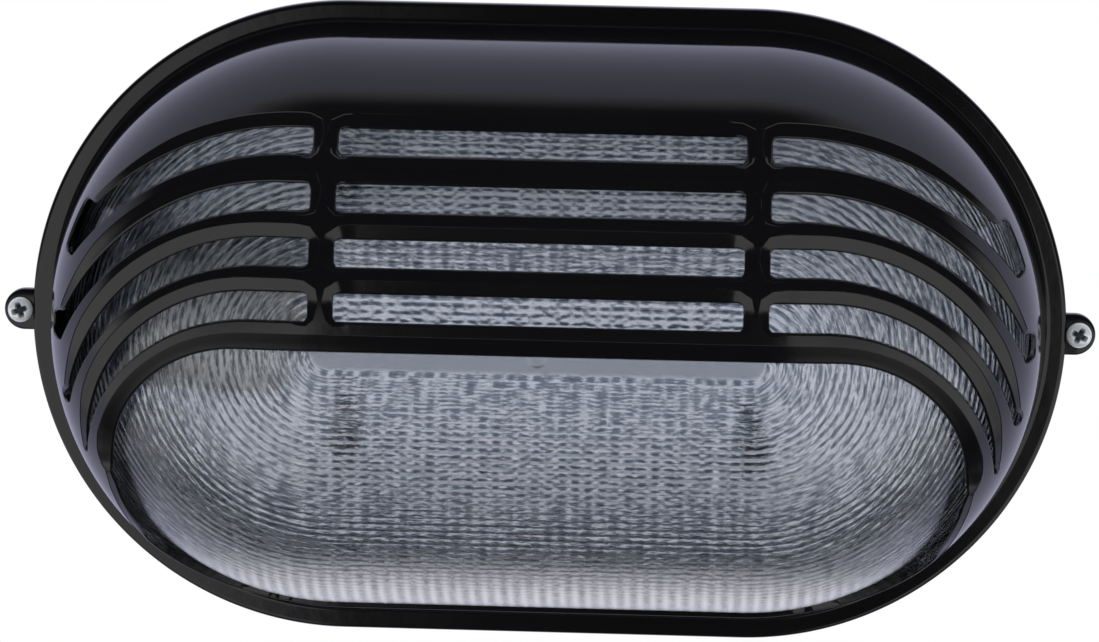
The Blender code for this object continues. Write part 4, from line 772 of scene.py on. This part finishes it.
# Base: an aluminium dish, cast and painted as the cover is. It is flat behind and has a flange, a rebate for
# the gasket, four plain wall holes and the cable's inlet.
BASE_DEPTH = 0.0360
BACK_THICKNESS = 0.0028
BASE_WALL_RADIUS = 0.0770
BASE_WALL = 0.0032
BASE_DRAFT = 0.0008
BASE_FLANGE_RADIUS = 0.0822
BASE_FLANGE_DEPTH = 0.0070
REBATE_RADIUS = 0.0793
REBATE_DEPTH = 0.0030
WALL_HOLE_X = 0.0545
WALL_HOLE_Z = 0.0330
WALL_HOLE_RADIUS = 0.0026
INLET_X = 0.0250
INLET_RADIUS = 0.0080
FLANGE_SLOPE = 0.0026
FLAT_BACK = 0.0708
HOLE_BREAK = 0.0004
BASE_SPACING = 0.0040


def ring(x, z, radius, count=40):
    """A circle in the front view."""
    angle = np.linspace(0, 2 * math.pi, count, endpoint=False)
    return np.column_stack([x + radius * np.cos(angle), z + radius * np.sin(angle)])


step = BASE_DEPTH - BASE_FLANGE_DEPTH
wall_end = step - FLANGE_SLOPE
base_outside = rounded([(0, 0), (BASE_WALL_RADIUS - BASE_DRAFT, 0), (BASE_WALL_RADIUS, wall_end),
                        (BASE_FLANGE_RADIUS, step), (BASE_FLANGE_RADIUS, BASE_DEPTH)],
                       [0.0012, 0.0015, 0.0008])
base_lengths = girth(base_outside)
wall_inside = BASE_WALL_RADIUS - BASE_WALL
dish = np.array([(0, BACK_THICKNESS), (wall_inside - BASE_DRAFT, BACK_THICKNESS),
                 (wall_inside, BASE_DEPTH - REBATE_DEPTH), (REBATE_RADIUS, BASE_DEPTH - REBATE_DEPTH),
                 (REBATE_RADIUS, BASE_DEPTH), (BASE_FLANGE_RADIUS, BASE_DEPTH)])
base_inside = matched(base_lengths, base_outside, dish, [
    ((0, 0), (0, BACK_THICKNESS)), ((FLAT_BACK, 0), (FLAT_BACK, BACK_THICKNESS)),
    ((BASE_WALL_RADIUS, wall_end), (wall_inside, BASE_DEPTH - REBATE_DEPTH)),
    ((BASE_FLANGE_RADIUS, step), (REBATE_RADIUS, BASE_DEPTH)),
    ((BASE_FLANGE_RADIUS, BASE_DEPTH), (BASE_FLANGE_RADIUS, BASE_DEPTH))])
wall_screws = [(x, z) for x in (-WALL_HOLE_X, WALL_HOLE_X) for z in (-WALL_HOLE_Z, WALL_HOLE_Z)]
base_holes = [ring(x, z, WALL_HOLE_RADIUS) for x, z in wall_screws] + [ring(INLET_X, 0, INLET_RADIUS, 64)]
base_edges = [np.full(len(hole), HOLE_BREAK) for hole in base_holes]
base = casting("base_casting", base_outside, base_lengths, base_inside, base_holes, base_edges, BASE_SPACING,
               gloss_black, facing=-1)
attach(base, "base")
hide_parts("base_housing")


# Bosses: round stands cast up from the base's floor, for the lampholder's bracket, the terminal block, the
# earth screw and the tray's two screws. Each has a softly rounded rim and a drilled hole.
BOSS_EDGE = 0.0005
BOSS_SINK = 0.0006
BOSS_HOLE = 0.0035
BOSS_BREAK = 0.0002
BORE = 0.00165
EARTH_BORE = 0.0021
LOW_TOP, EARTH_TOP, TRAY_TOP = 0.0048, 0.0068, 0.0157
BOSSES = {  # place x and z, radius, top and bore
    "foot_1": (-0.0980, 0.0, 0.0042, LOW_TOP, BORE), "foot_2": (-0.0880, 0.0, 0.0042, LOW_TOP, BORE),
    "block": (-0.0360, 0.0, 0.0050, LOW_TOP, BORE), "earth": (-0.0250, 0.0240, 0.0048, EARTH_TOP, EARTH_BORE),
    "tray_1": (-0.0620, 0.0, 0.0040, TRAY_TOP, BORE), "tray_2": (0.0880, 0.0, 0.0040, TRAY_TOP, BORE)}
BOSS_STEPS = 32


def boss(name, x, z, radius, top, bore):
    """A turned stand about an axis along the depth: a ring is x + r cos a, z + r sin a at its own depth."""
    quarter = np.linspace(0, math.pi / 2, 5)
    edge = [(radius - BOSS_EDGE * (1 - math.cos(t)), top - BOSS_EDGE * (1 - math.sin(t))) for t in quarter]
    section = [(0.0, BACK_THICKNESS - BOSS_SINK), (radius, BACK_THICKNESS - BOSS_SINK)] + edge
    bottom = max(top - BOSS_HOLE, BACK_THICKNESS)
    section += [(bore + BOSS_BREAK, top), (bore, top - BOSS_BREAK), (bore, bottom), (0.0, bottom)]
    angle = np.linspace(0, 2 * math.pi, BOSS_STEPS, endpoint=False)
    rows = np.array([np.column_stack([x + r * np.cos(angle), np.full(BOSS_STEPS, -d), z + r * np.sin(angle)])
                     for r, d in section])
    number = np.arange(len(section) * BOSS_STEPS).reshape(-1, BOSS_STEPS)
    after = np.roll(number, -1, axis=1)
    quads = np.stack([number[:-1], after[:-1], after[1:], number[1:]], axis=2)
    return new_piece(name, rows.reshape(-1, 3), quads.reshape(-1, 4).tolist(), gloss_black)


for name, sizes in BOSSES.items():
    stand = boss("base_boss_" + name, *sizes)
    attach(stand, "base")


# Ears: half-round lugs cast with the cover and with the base, one at each end. The cover's are drilled
# through, and the base's have a blind hole that the screw bites into.
COVER_EAR_RADIUS = 0.0054
COVER_EAR_X = HALF_STRAIGHT + RIM_RADIUS + 0.0023
BASE_EAR_RADIUS = 0.0039
BASE_EAR_X = HALF_STRAIGHT + RIM_RADIUS + 0.0030
EAR_SCREW_X = HALF_STRAIGHT + RIM_RADIUS + 0.0033
EAR_HOLE = 0.00195
EAR_HOLE_DEPTH = 0.0053
EAR_EDGE = 0.0006
COVER_EAR_FRONT = 0.0399
COVER_EAR_BACK = 0.0366
BASE_EAR_FRONT = 0.0357
BASE_EAR_BACK = 0.0295
EAR_BREAK = 0.0002
COVER_EAR_ROOT = HALF_STRAIGHT + 0.0808
BASE_EAR_ROOT = HALF_STRAIGHT + 0.0800
BASE_LIP_ROOT = HALF_STRAIGHT + 0.0807
BASE_LIP_BACK = 0.0310


def ear_loops(root, centre_x, ear_radius, levels):
    """Matched loops round the screw's axis, one for each level (kind, depth, inset or radius).

    An outline is a D: a half circle about the ear's centre with straight sides to its root inside the
    casting, which is root[0] behind the depth root[2] and root[1] in front of it. A hole's loop is a circle,
    and each of its points lies towards one of the outline's.
    """
    angle = np.linspace(-math.pi / 2, math.pi / 2, 33)
    up = np.linspace(1, -1, 12)[1:-1]
    loops = []
    for kind, depth, size in levels:
        radius = ear_radius - (size if kind == "outline" else 0)
        base_x = root[0] if depth < root[2] else root[1]
        arc = np.column_stack([centre_x + radius * np.cos(angle), radius * np.sin(angle)])
        loop = np.vstack([arc, [(base_x, radius)], np.column_stack([np.full(len(up), base_x), up * radius]),
                          [(base_x, -radius)]])
        if kind == "hole":
            toward = loop - np.array([EAR_SCREW_X, 0])
            loop = np.array([EAR_SCREW_X, 0]) + size * toward / np.linalg.norm(toward, axis=1)[:, None]
        loops.append(np.column_stack([loop[:, 0], np.full(len(loop), -depth), loop[:, 1]]))
    return np.array(loops)


def ear_edge(front, back, steps=5):
    """Levels of an ear's outside, from its front face over its rounded edge to its back."""
    turn = np.linspace(0, math.pi / 2, steps)
    over = [("outline", front - EAR_EDGE * (1 - math.cos(t)), EAR_EDGE * (1 - math.sin(t))) for t in turn]
    return over + [("outline", back + 0.0004, 0.0), ("outline", back, 0.0004)]


def ear(name, side, shape, levels, closed):
    """An ear's skin between its loops; a closed one runs through the hole and back to its first loop."""
    loops = ear_loops(*shape, levels) * [side, 1, 1]
    if closed:
        loops = np.concatenate([loops, loops[:1]])
    rows, columns = loops.shape[:2]
    number = np.arange(rows * columns).reshape(rows, columns)
    after = np.roll(number, -1, axis=1)
    quads = np.stack([number[:-1], after[:-1], after[1:], number[1:]], axis=2)
    return new_piece(name, loops.reshape(-1, 3), quads.reshape(-1, 4).tolist(), gloss_black)


cover_shape = ((COVER_EAR_ROOT, COVER_EAR_ROOT, 0.0), COVER_EAR_X, COVER_EAR_RADIUS)
cover_levels = [("hole", COVER_EAR_BACK, EAR_HOLE), ("hole", COVER_EAR_FRONT - EAR_BREAK, EAR_HOLE),
                ("hole", COVER_EAR_FRONT, EAR_HOLE + EAR_BREAK)]
cover_levels += ear_edge(COVER_EAR_FRONT, COVER_EAR_BACK)
base_shape = ((BASE_EAR_ROOT, BASE_LIP_ROOT, BASE_LIP_BACK), BASE_EAR_X, BASE_EAR_RADIUS)
base_levels = [("hole", BASE_DEPTH - EAR_HOLE_DEPTH, 0.0), ("hole", BASE_DEPTH - EAR_HOLE_DEPTH, EAR_HOLE),
               ("hole", BASE_EAR_FRONT - EAR_BREAK, EAR_HOLE), ("hole", BASE_EAR_FRONT, EAR_HOLE + EAR_BREAK)]
base_levels += ear_edge(BASE_EAR_FRONT, BASE_EAR_BACK) + [("hole", BASE_EAR_BACK, 0.0)]
for side, end in ((-1, "left"), (1, "right")):
    cover_ear = ear("cover_ear_" + end, side, cover_shape, cover_levels, True)
    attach(cover_ear, "cover")
    base_ear = ear("base_ear_" + end, side, base_shape, base_levels, False)
    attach(base_ear, "base")

# Cover screws: pan heads with a cross recess, cold formed and bright zinc plated, with a rolled thread.
SCREW_HEAD_SEAT = 0.0402
SCREW_HEAD_RADIUS = 0.0033
SCREW_HEAD_HEIGHT = 0.0024
SCREW_SHANK = 0.00172
SCREW_LENGTH = 0.0086
THREAD_PITCH = 0.0007
THREAD_DEPTH = 0.0003
THREAD_START = 0.0006
THREAD_FADE = 0.0010
HEAD_SIDE = 0.34
HEAD_BREAK = 0.0003
SCREW_STEPS = 72
CROSS_WIDTH = 0.00125
CROSS_SPAN = 0.0046
CROSS_DEPTH = 0.0018
CROSS_DRAFT = 0.00035
FILM_SHARE = 0.55
# Painted shade in the cross recess.
RECESS_PAINTED_SHADE = "#2C3A41"


def cross_recess(across, up):
    """Depth of the cross recess: two tapered slots at right angles, each a trapezoid across and along."""
    deep = np.zeros(np.broadcast(across, up).shape)
    for u, v in ((across, up), (up, across)):
        wall = np.clip((CROSS_WIDTH / 2 + CROSS_DRAFT / 2 - np.abs(v)) / CROSS_DRAFT, 0, 1)
        end = np.clip((CROSS_SPAN / 2 - np.abs(u)) / (CROSS_SPAN / 2 - CROSS_WIDTH), 0, 1)
        deep = np.maximum(deep, wall * end)
    return CROSS_DEPTH * deep


def cover_screw_points(turned_by):
    """Rows of a cover screw about its own axis, from the head's middle to the tip, with the height last.

    The head's top is a dome over its side, H (s + (1 - s) sqrt(1 - (r / R)^2)), less the recess. The thread
    is a ridge whose phase grows with the height and with one turn round the axis; it fades at both ends.
    """
    angle = np.linspace(0, 2 * math.pi, SCREW_STEPS, endpoint=False)
    r = SCREW_HEAD_RADIUS * np.linspace(0, 0.985, 40)[:, None]
    top = SCREW_HEAD_HEIGHT * (HEAD_SIDE + (1 - HEAD_SIDE) * np.sqrt(1 - (r / SCREW_HEAD_RADIUS) ** 2))
    face = top - cross_recess(r * np.cos(angle - turned_by), r * np.sin(angle - turned_by))
    rows = [np.column_stack([radius * np.cos(angle), radius * np.sin(angle), height])
            for radius, height in zip(r[:, 0], face)]
    side_and_seat = [(SCREW_HEAD_RADIUS, SCREW_HEAD_HEIGHT * HEAD_SIDE), (SCREW_HEAD_RADIUS, HEAD_BREAK),
                     (SCREW_HEAD_RADIUS - HEAD_BREAK, 0.0), (SCREW_SHANK, 0.0)]
    for radius, height in side_and_seat:
        rows.append(np.column_stack([radius * np.cos(angle), radius * np.sin(angle), 0 * angle + height]))
    for down in np.arange(THREAD_START, SCREW_LENGTH, THREAD_PITCH / 6):
        wave = np.abs(2 * ((down / THREAD_PITCH + angle / (2 * math.pi)) % 1) - 1)
        from_tip = min(1.0, (SCREW_LENGTH - down) / THREAD_FADE)
        grown = min(1.0, (down - THREAD_START) / THREAD_FADE) * from_tip
        radius = SCREW_SHANK - THREAD_DEPTH * (wave * grown + 1 - from_tip)
        rows.append(np.column_stack([radius * np.cos(angle), radius * np.sin(angle), 0 * angle - down]))
    rows.append(np.column_stack([0 * angle, 0 * angle, 0 * angle - SCREW_LENGTH]))
    return np.array(rows)


def plated(name, colour, roughness, cloud_size):
    """Bright zinc plate: clouded gloss in patches a few millimetres across, with fine grain."""
    made = bpy.data.materials.new(name)
    made.use_nodes = True
    tree = made.node_tree
    shader = tree.nodes["Principled BSDF"]
    shader.inputs["Metallic"].default_value = 1.0
    place = node(tree, "ShaderNodeTexCoord").outputs["Object"]
    cloud = node(tree, "ShaderNodeTexNoise", {"Vector": place, "Scale": 1 / cloud_size, "Detail": 5.0})
    tint = node(tree, "ShaderNodeMix", {0: cloud.outputs["Fac"], 6: linear(colour[0]), 7: linear(colour[1])},
                data_type="RGBA")
    tree.links.new(tint.outputs[2], shader.inputs["Base Color"])
    gloss = node(tree, "ShaderNodeMapRange", {0: cloud.outputs["Fac"], 1: 0.3, 2: 0.7, 3: roughness * 0.7,
                                              4: roughness * 1.3})
    tree.links.new(gloss.outputs[0], shader.inputs["Roughness"])
    return made


# The cover screws' zinc has a pale film that scatters light, so the head looks bright from every side. The
# cross recess is painted dark by its depth, a painted shade where the recess lies in shadow.
zinc = plated("bright_zinc_plate", ("#DFE6EC", "#F4F8FB"), 0.34, 0.0025)
tree = zinc.node_tree
shader = tree.nodes["Principled BSDF"]
shader.inputs["Metallic"].default_value = 1 - FILM_SHARE
plate = shader.inputs["Base Color"].links[0].from_socket
# Painted shade: the colour darkens towards the recess tone with the cross recess's depth.
recess = node(tree, "ShaderNodeAttribute", attribute_name="recess")
tint = node(tree, "ShaderNodeMix", {0: recess.outputs["Fac"], 6: plate, 7: linear(RECESS_PAINTED_SHADE)},
            data_type="RGBA")
tree.links.new(tint.outputs[2], shader.inputs["Base Color"])
for side, end, turned_by in ((-1, "left", 0.35), (1, "right", 1.1)):
    rows = cover_screw_points(turned_by)
    right, up, height = rows.reshape(-1, 3).T
    points = np.column_stack([side * EAR_SCREW_X + right, -SCREW_HEAD_SEAT - height, up])
    number = np.arange(len(points)).reshape(rows.shape[:2])
    after = np.roll(number, -1, axis=1)
    quads = np.stack([number[:-1], after[:-1], after[1:], number[1:]], axis=2)
    screw = new_piece("cover_screw_piece_" + end, points, quads.reshape(-1, 4).tolist(), zinc, 40)
    placed = np.empty(len(screw.data.vertices) * 3)
    screw.data.vertices.foreach_get("co", placed)
    x, y, z = placed.reshape(-1, 3).T
    off_axis = x - side * EAR_SCREW_X
    bearing, from_axis = np.arctan2(z, off_axis) - turned_by, np.hypot(off_axis, z)
    sunk = cross_recess(from_axis * np.cos(bearing), from_axis * np.sin(bearing)) / CROSS_DEPTH
    # The recess attribute is the cross recess's depth, which sets the painted shade.
    recess = screw.data.attributes.new("recess", "FLOAT", "POINT")
    recess.data.foreach_set("value", np.where(y < -SCREW_HEAD_SEAT - HEAD_BREAK, sunk, 0.0))
    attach(screw, "screw_" + end)
    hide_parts("cover_screw_" + end)

# Gasket: a flat ring of soft black rubber in the base's rebate, under the glass. Moulded rubber is dull, with
# a faint grey bloom in patches.
GASKET_OUTER = 0.0790
GASKET_INNER = 0.0746
GASKET_BACK = 0.0333
GASKET_FRONT = 0.0353
GASKET_EDGE = 0.0005

rubber = bpy.data.materials.new("soft_black_rubber")
rubber.use_nodes = True
tree = rubber.node_tree
shader = tree.nodes["Principled BSDF"]
place = node(tree, "ShaderNodeTexCoord").outputs["Object"]
bloom = node(tree, "ShaderNodeTexNoise", {"Vector": place, "Scale": 1 / 0.004, "Detail": 6.0})
tint = node(tree, "ShaderNodeMix", {0: bloom.outputs["Fac"], 6: linear("#161616"), 7: linear("#2A2A2A")},
            data_type="RGBA")
tree.links.new(tint.outputs[2], shader.inputs["Base Color"])
shader.inputs["Roughness"].default_value = 0.75
seam = (GASKET_INNER, (GASKET_BACK + GASKET_FRONT) / 2)
ring_section = rounded([seam, (GASKET_INNER, GASKET_FRONT), (GASKET_OUTER, GASKET_FRONT),
                        (GASKET_OUTER, GASKET_BACK), (GASKET_INNER, GASKET_BACK), seam], [GASKET_EDGE] * 4, 4)
gasket = sweep("rubber_gasket_ring", ring_section, rubber, np.linspace(-HALF_STRAIGHT, HALF_STRAIGHT, 13), 48)
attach(gasket, "base")
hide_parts("base_gasket")

# Reflector: a tray pressed from bright rolled aluminium sheet, with cut-outs for the lampholder's bracket,
# its own two screws and a driver over each wall screw. The rolled finish is a slightly soft mirror.
SHEET = 0.0008
TRAY_FRONT = 0.0168
TRAY_FLOOR = 0.0568
TRAY_KNEE = (0.0612, 0.0182)
TRAY_RIM = (0.0714, 0.0310)
DRIVER_HOLE = 0.0045
POST_X = (-0.062, 0.088)
TRAY_SCREW_HOLE = 0.00165
BRACKET_CUT = (-0.1077, -0.0969)
BRACKET_CUT_HALF = 0.0180
CUT_CORNER = 0.001
CUT_SPACING = 0.001
TRAY_BEND = 0.004
SHEET_BREAK = 0.00015
TRAY_SPACING = 0.0035

tray_front = rounded([(0, TRAY_FRONT), (TRAY_FLOOR, TRAY_FRONT), TRAY_KNEE, TRAY_RIM], [TRAY_BEND] * 2)
ahead = np.gradient(tray_front, axis=0)
thick = np.column_stack([ahead[:, 1], -ahead[:, 0]]) / np.linalg.norm(ahead, axis=1)[:, None] * SHEET
tray_back = tray_front + thick
tray_back[0, 0] = 0
tray_outside = np.vstack([tray_front, tray_back[-1:]])
tray_inside = np.vstack([tray_back, tray_back[-1:] + 1e-9])
tray_holes = [ring(x, z, DRIVER_HOLE, 40) for x, z in wall_screws]
tray_holes += [ring(x, 0, TRAY_SCREW_HOLE, 20) for x in POST_X]
rear, fore = BRACKET_CUT
bracket_cut = rounded([(rear, 0), (rear, BRACKET_CUT_HALF), (fore, BRACKET_CUT_HALF),
                       (fore, -BRACKET_CUT_HALF), (rear, -BRACKET_CUT_HALF), (rear, 0)], [CUT_CORNER] * 4)
tray_holes.append(spaced(bracket_cut[:-1], CUT_SPACING))
rolled = plated("bright_rolled_aluminium", ("#E2E4E7", "#F4F5F6"), 0.22, 0.030)
tray_edges = [np.full(len(hole), SHEET_BREAK) for hole in tray_holes]
tray = casting("reflector_tray", tray_outside, girth(tray_outside), tray_inside, tray_holes, tray_edges,
               TRAY_SPACING, rolled)
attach(tray, "base")
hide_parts("reflector")

# Small metal parts inside, with the shapes of the CAD model: zinc plated screws and bracket, and the brass of
# the lampholder's shell and contact, the clamps and the earth washer. Plate clouds the gloss of steel; rolled
# brass is warmer and a little uneven.
small_zinc = plated("zinc_plated_small_screws", ("#A9AEB4", "#D5DADF"), 0.28, 0.0012)
sheet_zinc = plated("zinc_plated_sheet_steel", ("#A5AAB0", "#CDD2D8"), 0.34, 0.0060)
brass = plated("plain_rolled_brass", ("#B08A45", "#D6B26A"), 0.26, 0.0040)


def finish(material, *names):
    """Give CAD nodes a material."""
    for name in names:
        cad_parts[name].material_slots[0].material = material


finish(small_zinc, "reflector_screw_1", "reflector_screw_2", "bracket_screw_1", "bracket_screw_2",
       "lampholder_screw_1", "lampholder_screw_2", "terminal_screw_1", "terminal_screw_2", "terminal_screw_3",
       "terminal_screw_4", "terminal_block_screw", "earth_screw")
finish(sheet_zinc, "lampholder_bracket")
finish(brass, "lampholder_shell", "lampholder_contact", "terminal_clamp_live", "terminal_clamp_neutral",
       "earth_washer")

# Lampholder body: glazed white porcelain. A thin clear glaze over a faintly warm, slightly mottled body.
porcelain = bpy.data.materials.new("glazed_white_porcelain")
porcelain.use_nodes = True
tree = porcelain.node_tree
shader = tree.nodes["Principled BSDF"]
place = node(tree, "ShaderNodeTexCoord").outputs["Object"]
mottle = node(tree, "ShaderNodeTexNoise", {"Vector": place, "Scale": 1 / 0.008, "Detail": 5.0})
tint = node(tree, "ShaderNodeMix", {0: mottle.outputs["Fac"], 6: linear("#E6E3DA"), 7: linear("#F3F1EB")},
            data_type="RGBA")
tree.links.new(tint.outputs[2], shader.inputs["Base Color"])
shader.inputs["Roughness"].default_value = 0.35
shader.inputs["Coat Weight"].default_value = 1.0
shader.inputs["Coat Roughness"].default_value = 0.06
wave = node(tree, "ShaderNodeBump", {"Height": mottle.outputs["Fac"], "Strength": 0.15, "Distance": 0.0002})
tree.links.new(wave.outputs[0], shader.inputs["Coat Normal"])
finish(porcelain, "lampholder_body")


# Moulded and extruded plastics: the terminal block's off-white, and the brown and blue wire covers.
def moulded(name, colours, roughness, grain):
    """Plastic with a fine grain in its gloss and a faint cloud between two tones."""
    made = bpy.data.materials.new(name)
    made.use_nodes = True
    tree = made.node_tree
    shader = tree.nodes["Principled BSDF"]
    place = node(tree, "ShaderNodeTexCoord").outputs["Object"]
    cloud = node(tree, "ShaderNodeTexNoise", {"Vector": place, "Scale": 1 / 0.010, "Detail": 3.0})
    tint = node(tree, "ShaderNodeMix", {0: cloud.outputs["Fac"], 6: linear(colours[0]),
                                        7: linear(colours[1])}, data_type="RGBA")
    tree.links.new(tint.outputs[2], shader.inputs["Base Color"])
    speck = node(tree, "ShaderNodeTexNoise", {"Vector": place, "Scale": 1 / grain, "Detail": 2.0})
    gloss = node(tree, "ShaderNodeMapRange", {0: speck.outputs["Fac"], 1: 0.3, 2: 0.7, 3: roughness * 0.8,
                                              4: roughness * 1.2})
    tree.links.new(gloss.outputs[0], shader.inputs["Roughness"])
    bump = node(tree, "ShaderNodeBump", {"Height": speck.outputs["Fac"], "Strength": 0.2, "Distance": 0.0001})
    tree.links.new(bump.outputs[0], shader.inputs["Normal"])
    return made


finish(moulded("off_white_moulded_nylon", ("#D9D6CB", "#E5E2D8"), 0.45, 0.0006), "terminal_block")
finish(moulded("brown_wire_pvc", ("#4A2A18", "#5A351F"), 0.40, 0.0008), "wire_live")
finish(moulded("blue_wire_pvc", ("#1B4E96", "#245BA8"), 0.40, 0.0008), "wire_neutral")
finish(rubber, "cable_grommet")
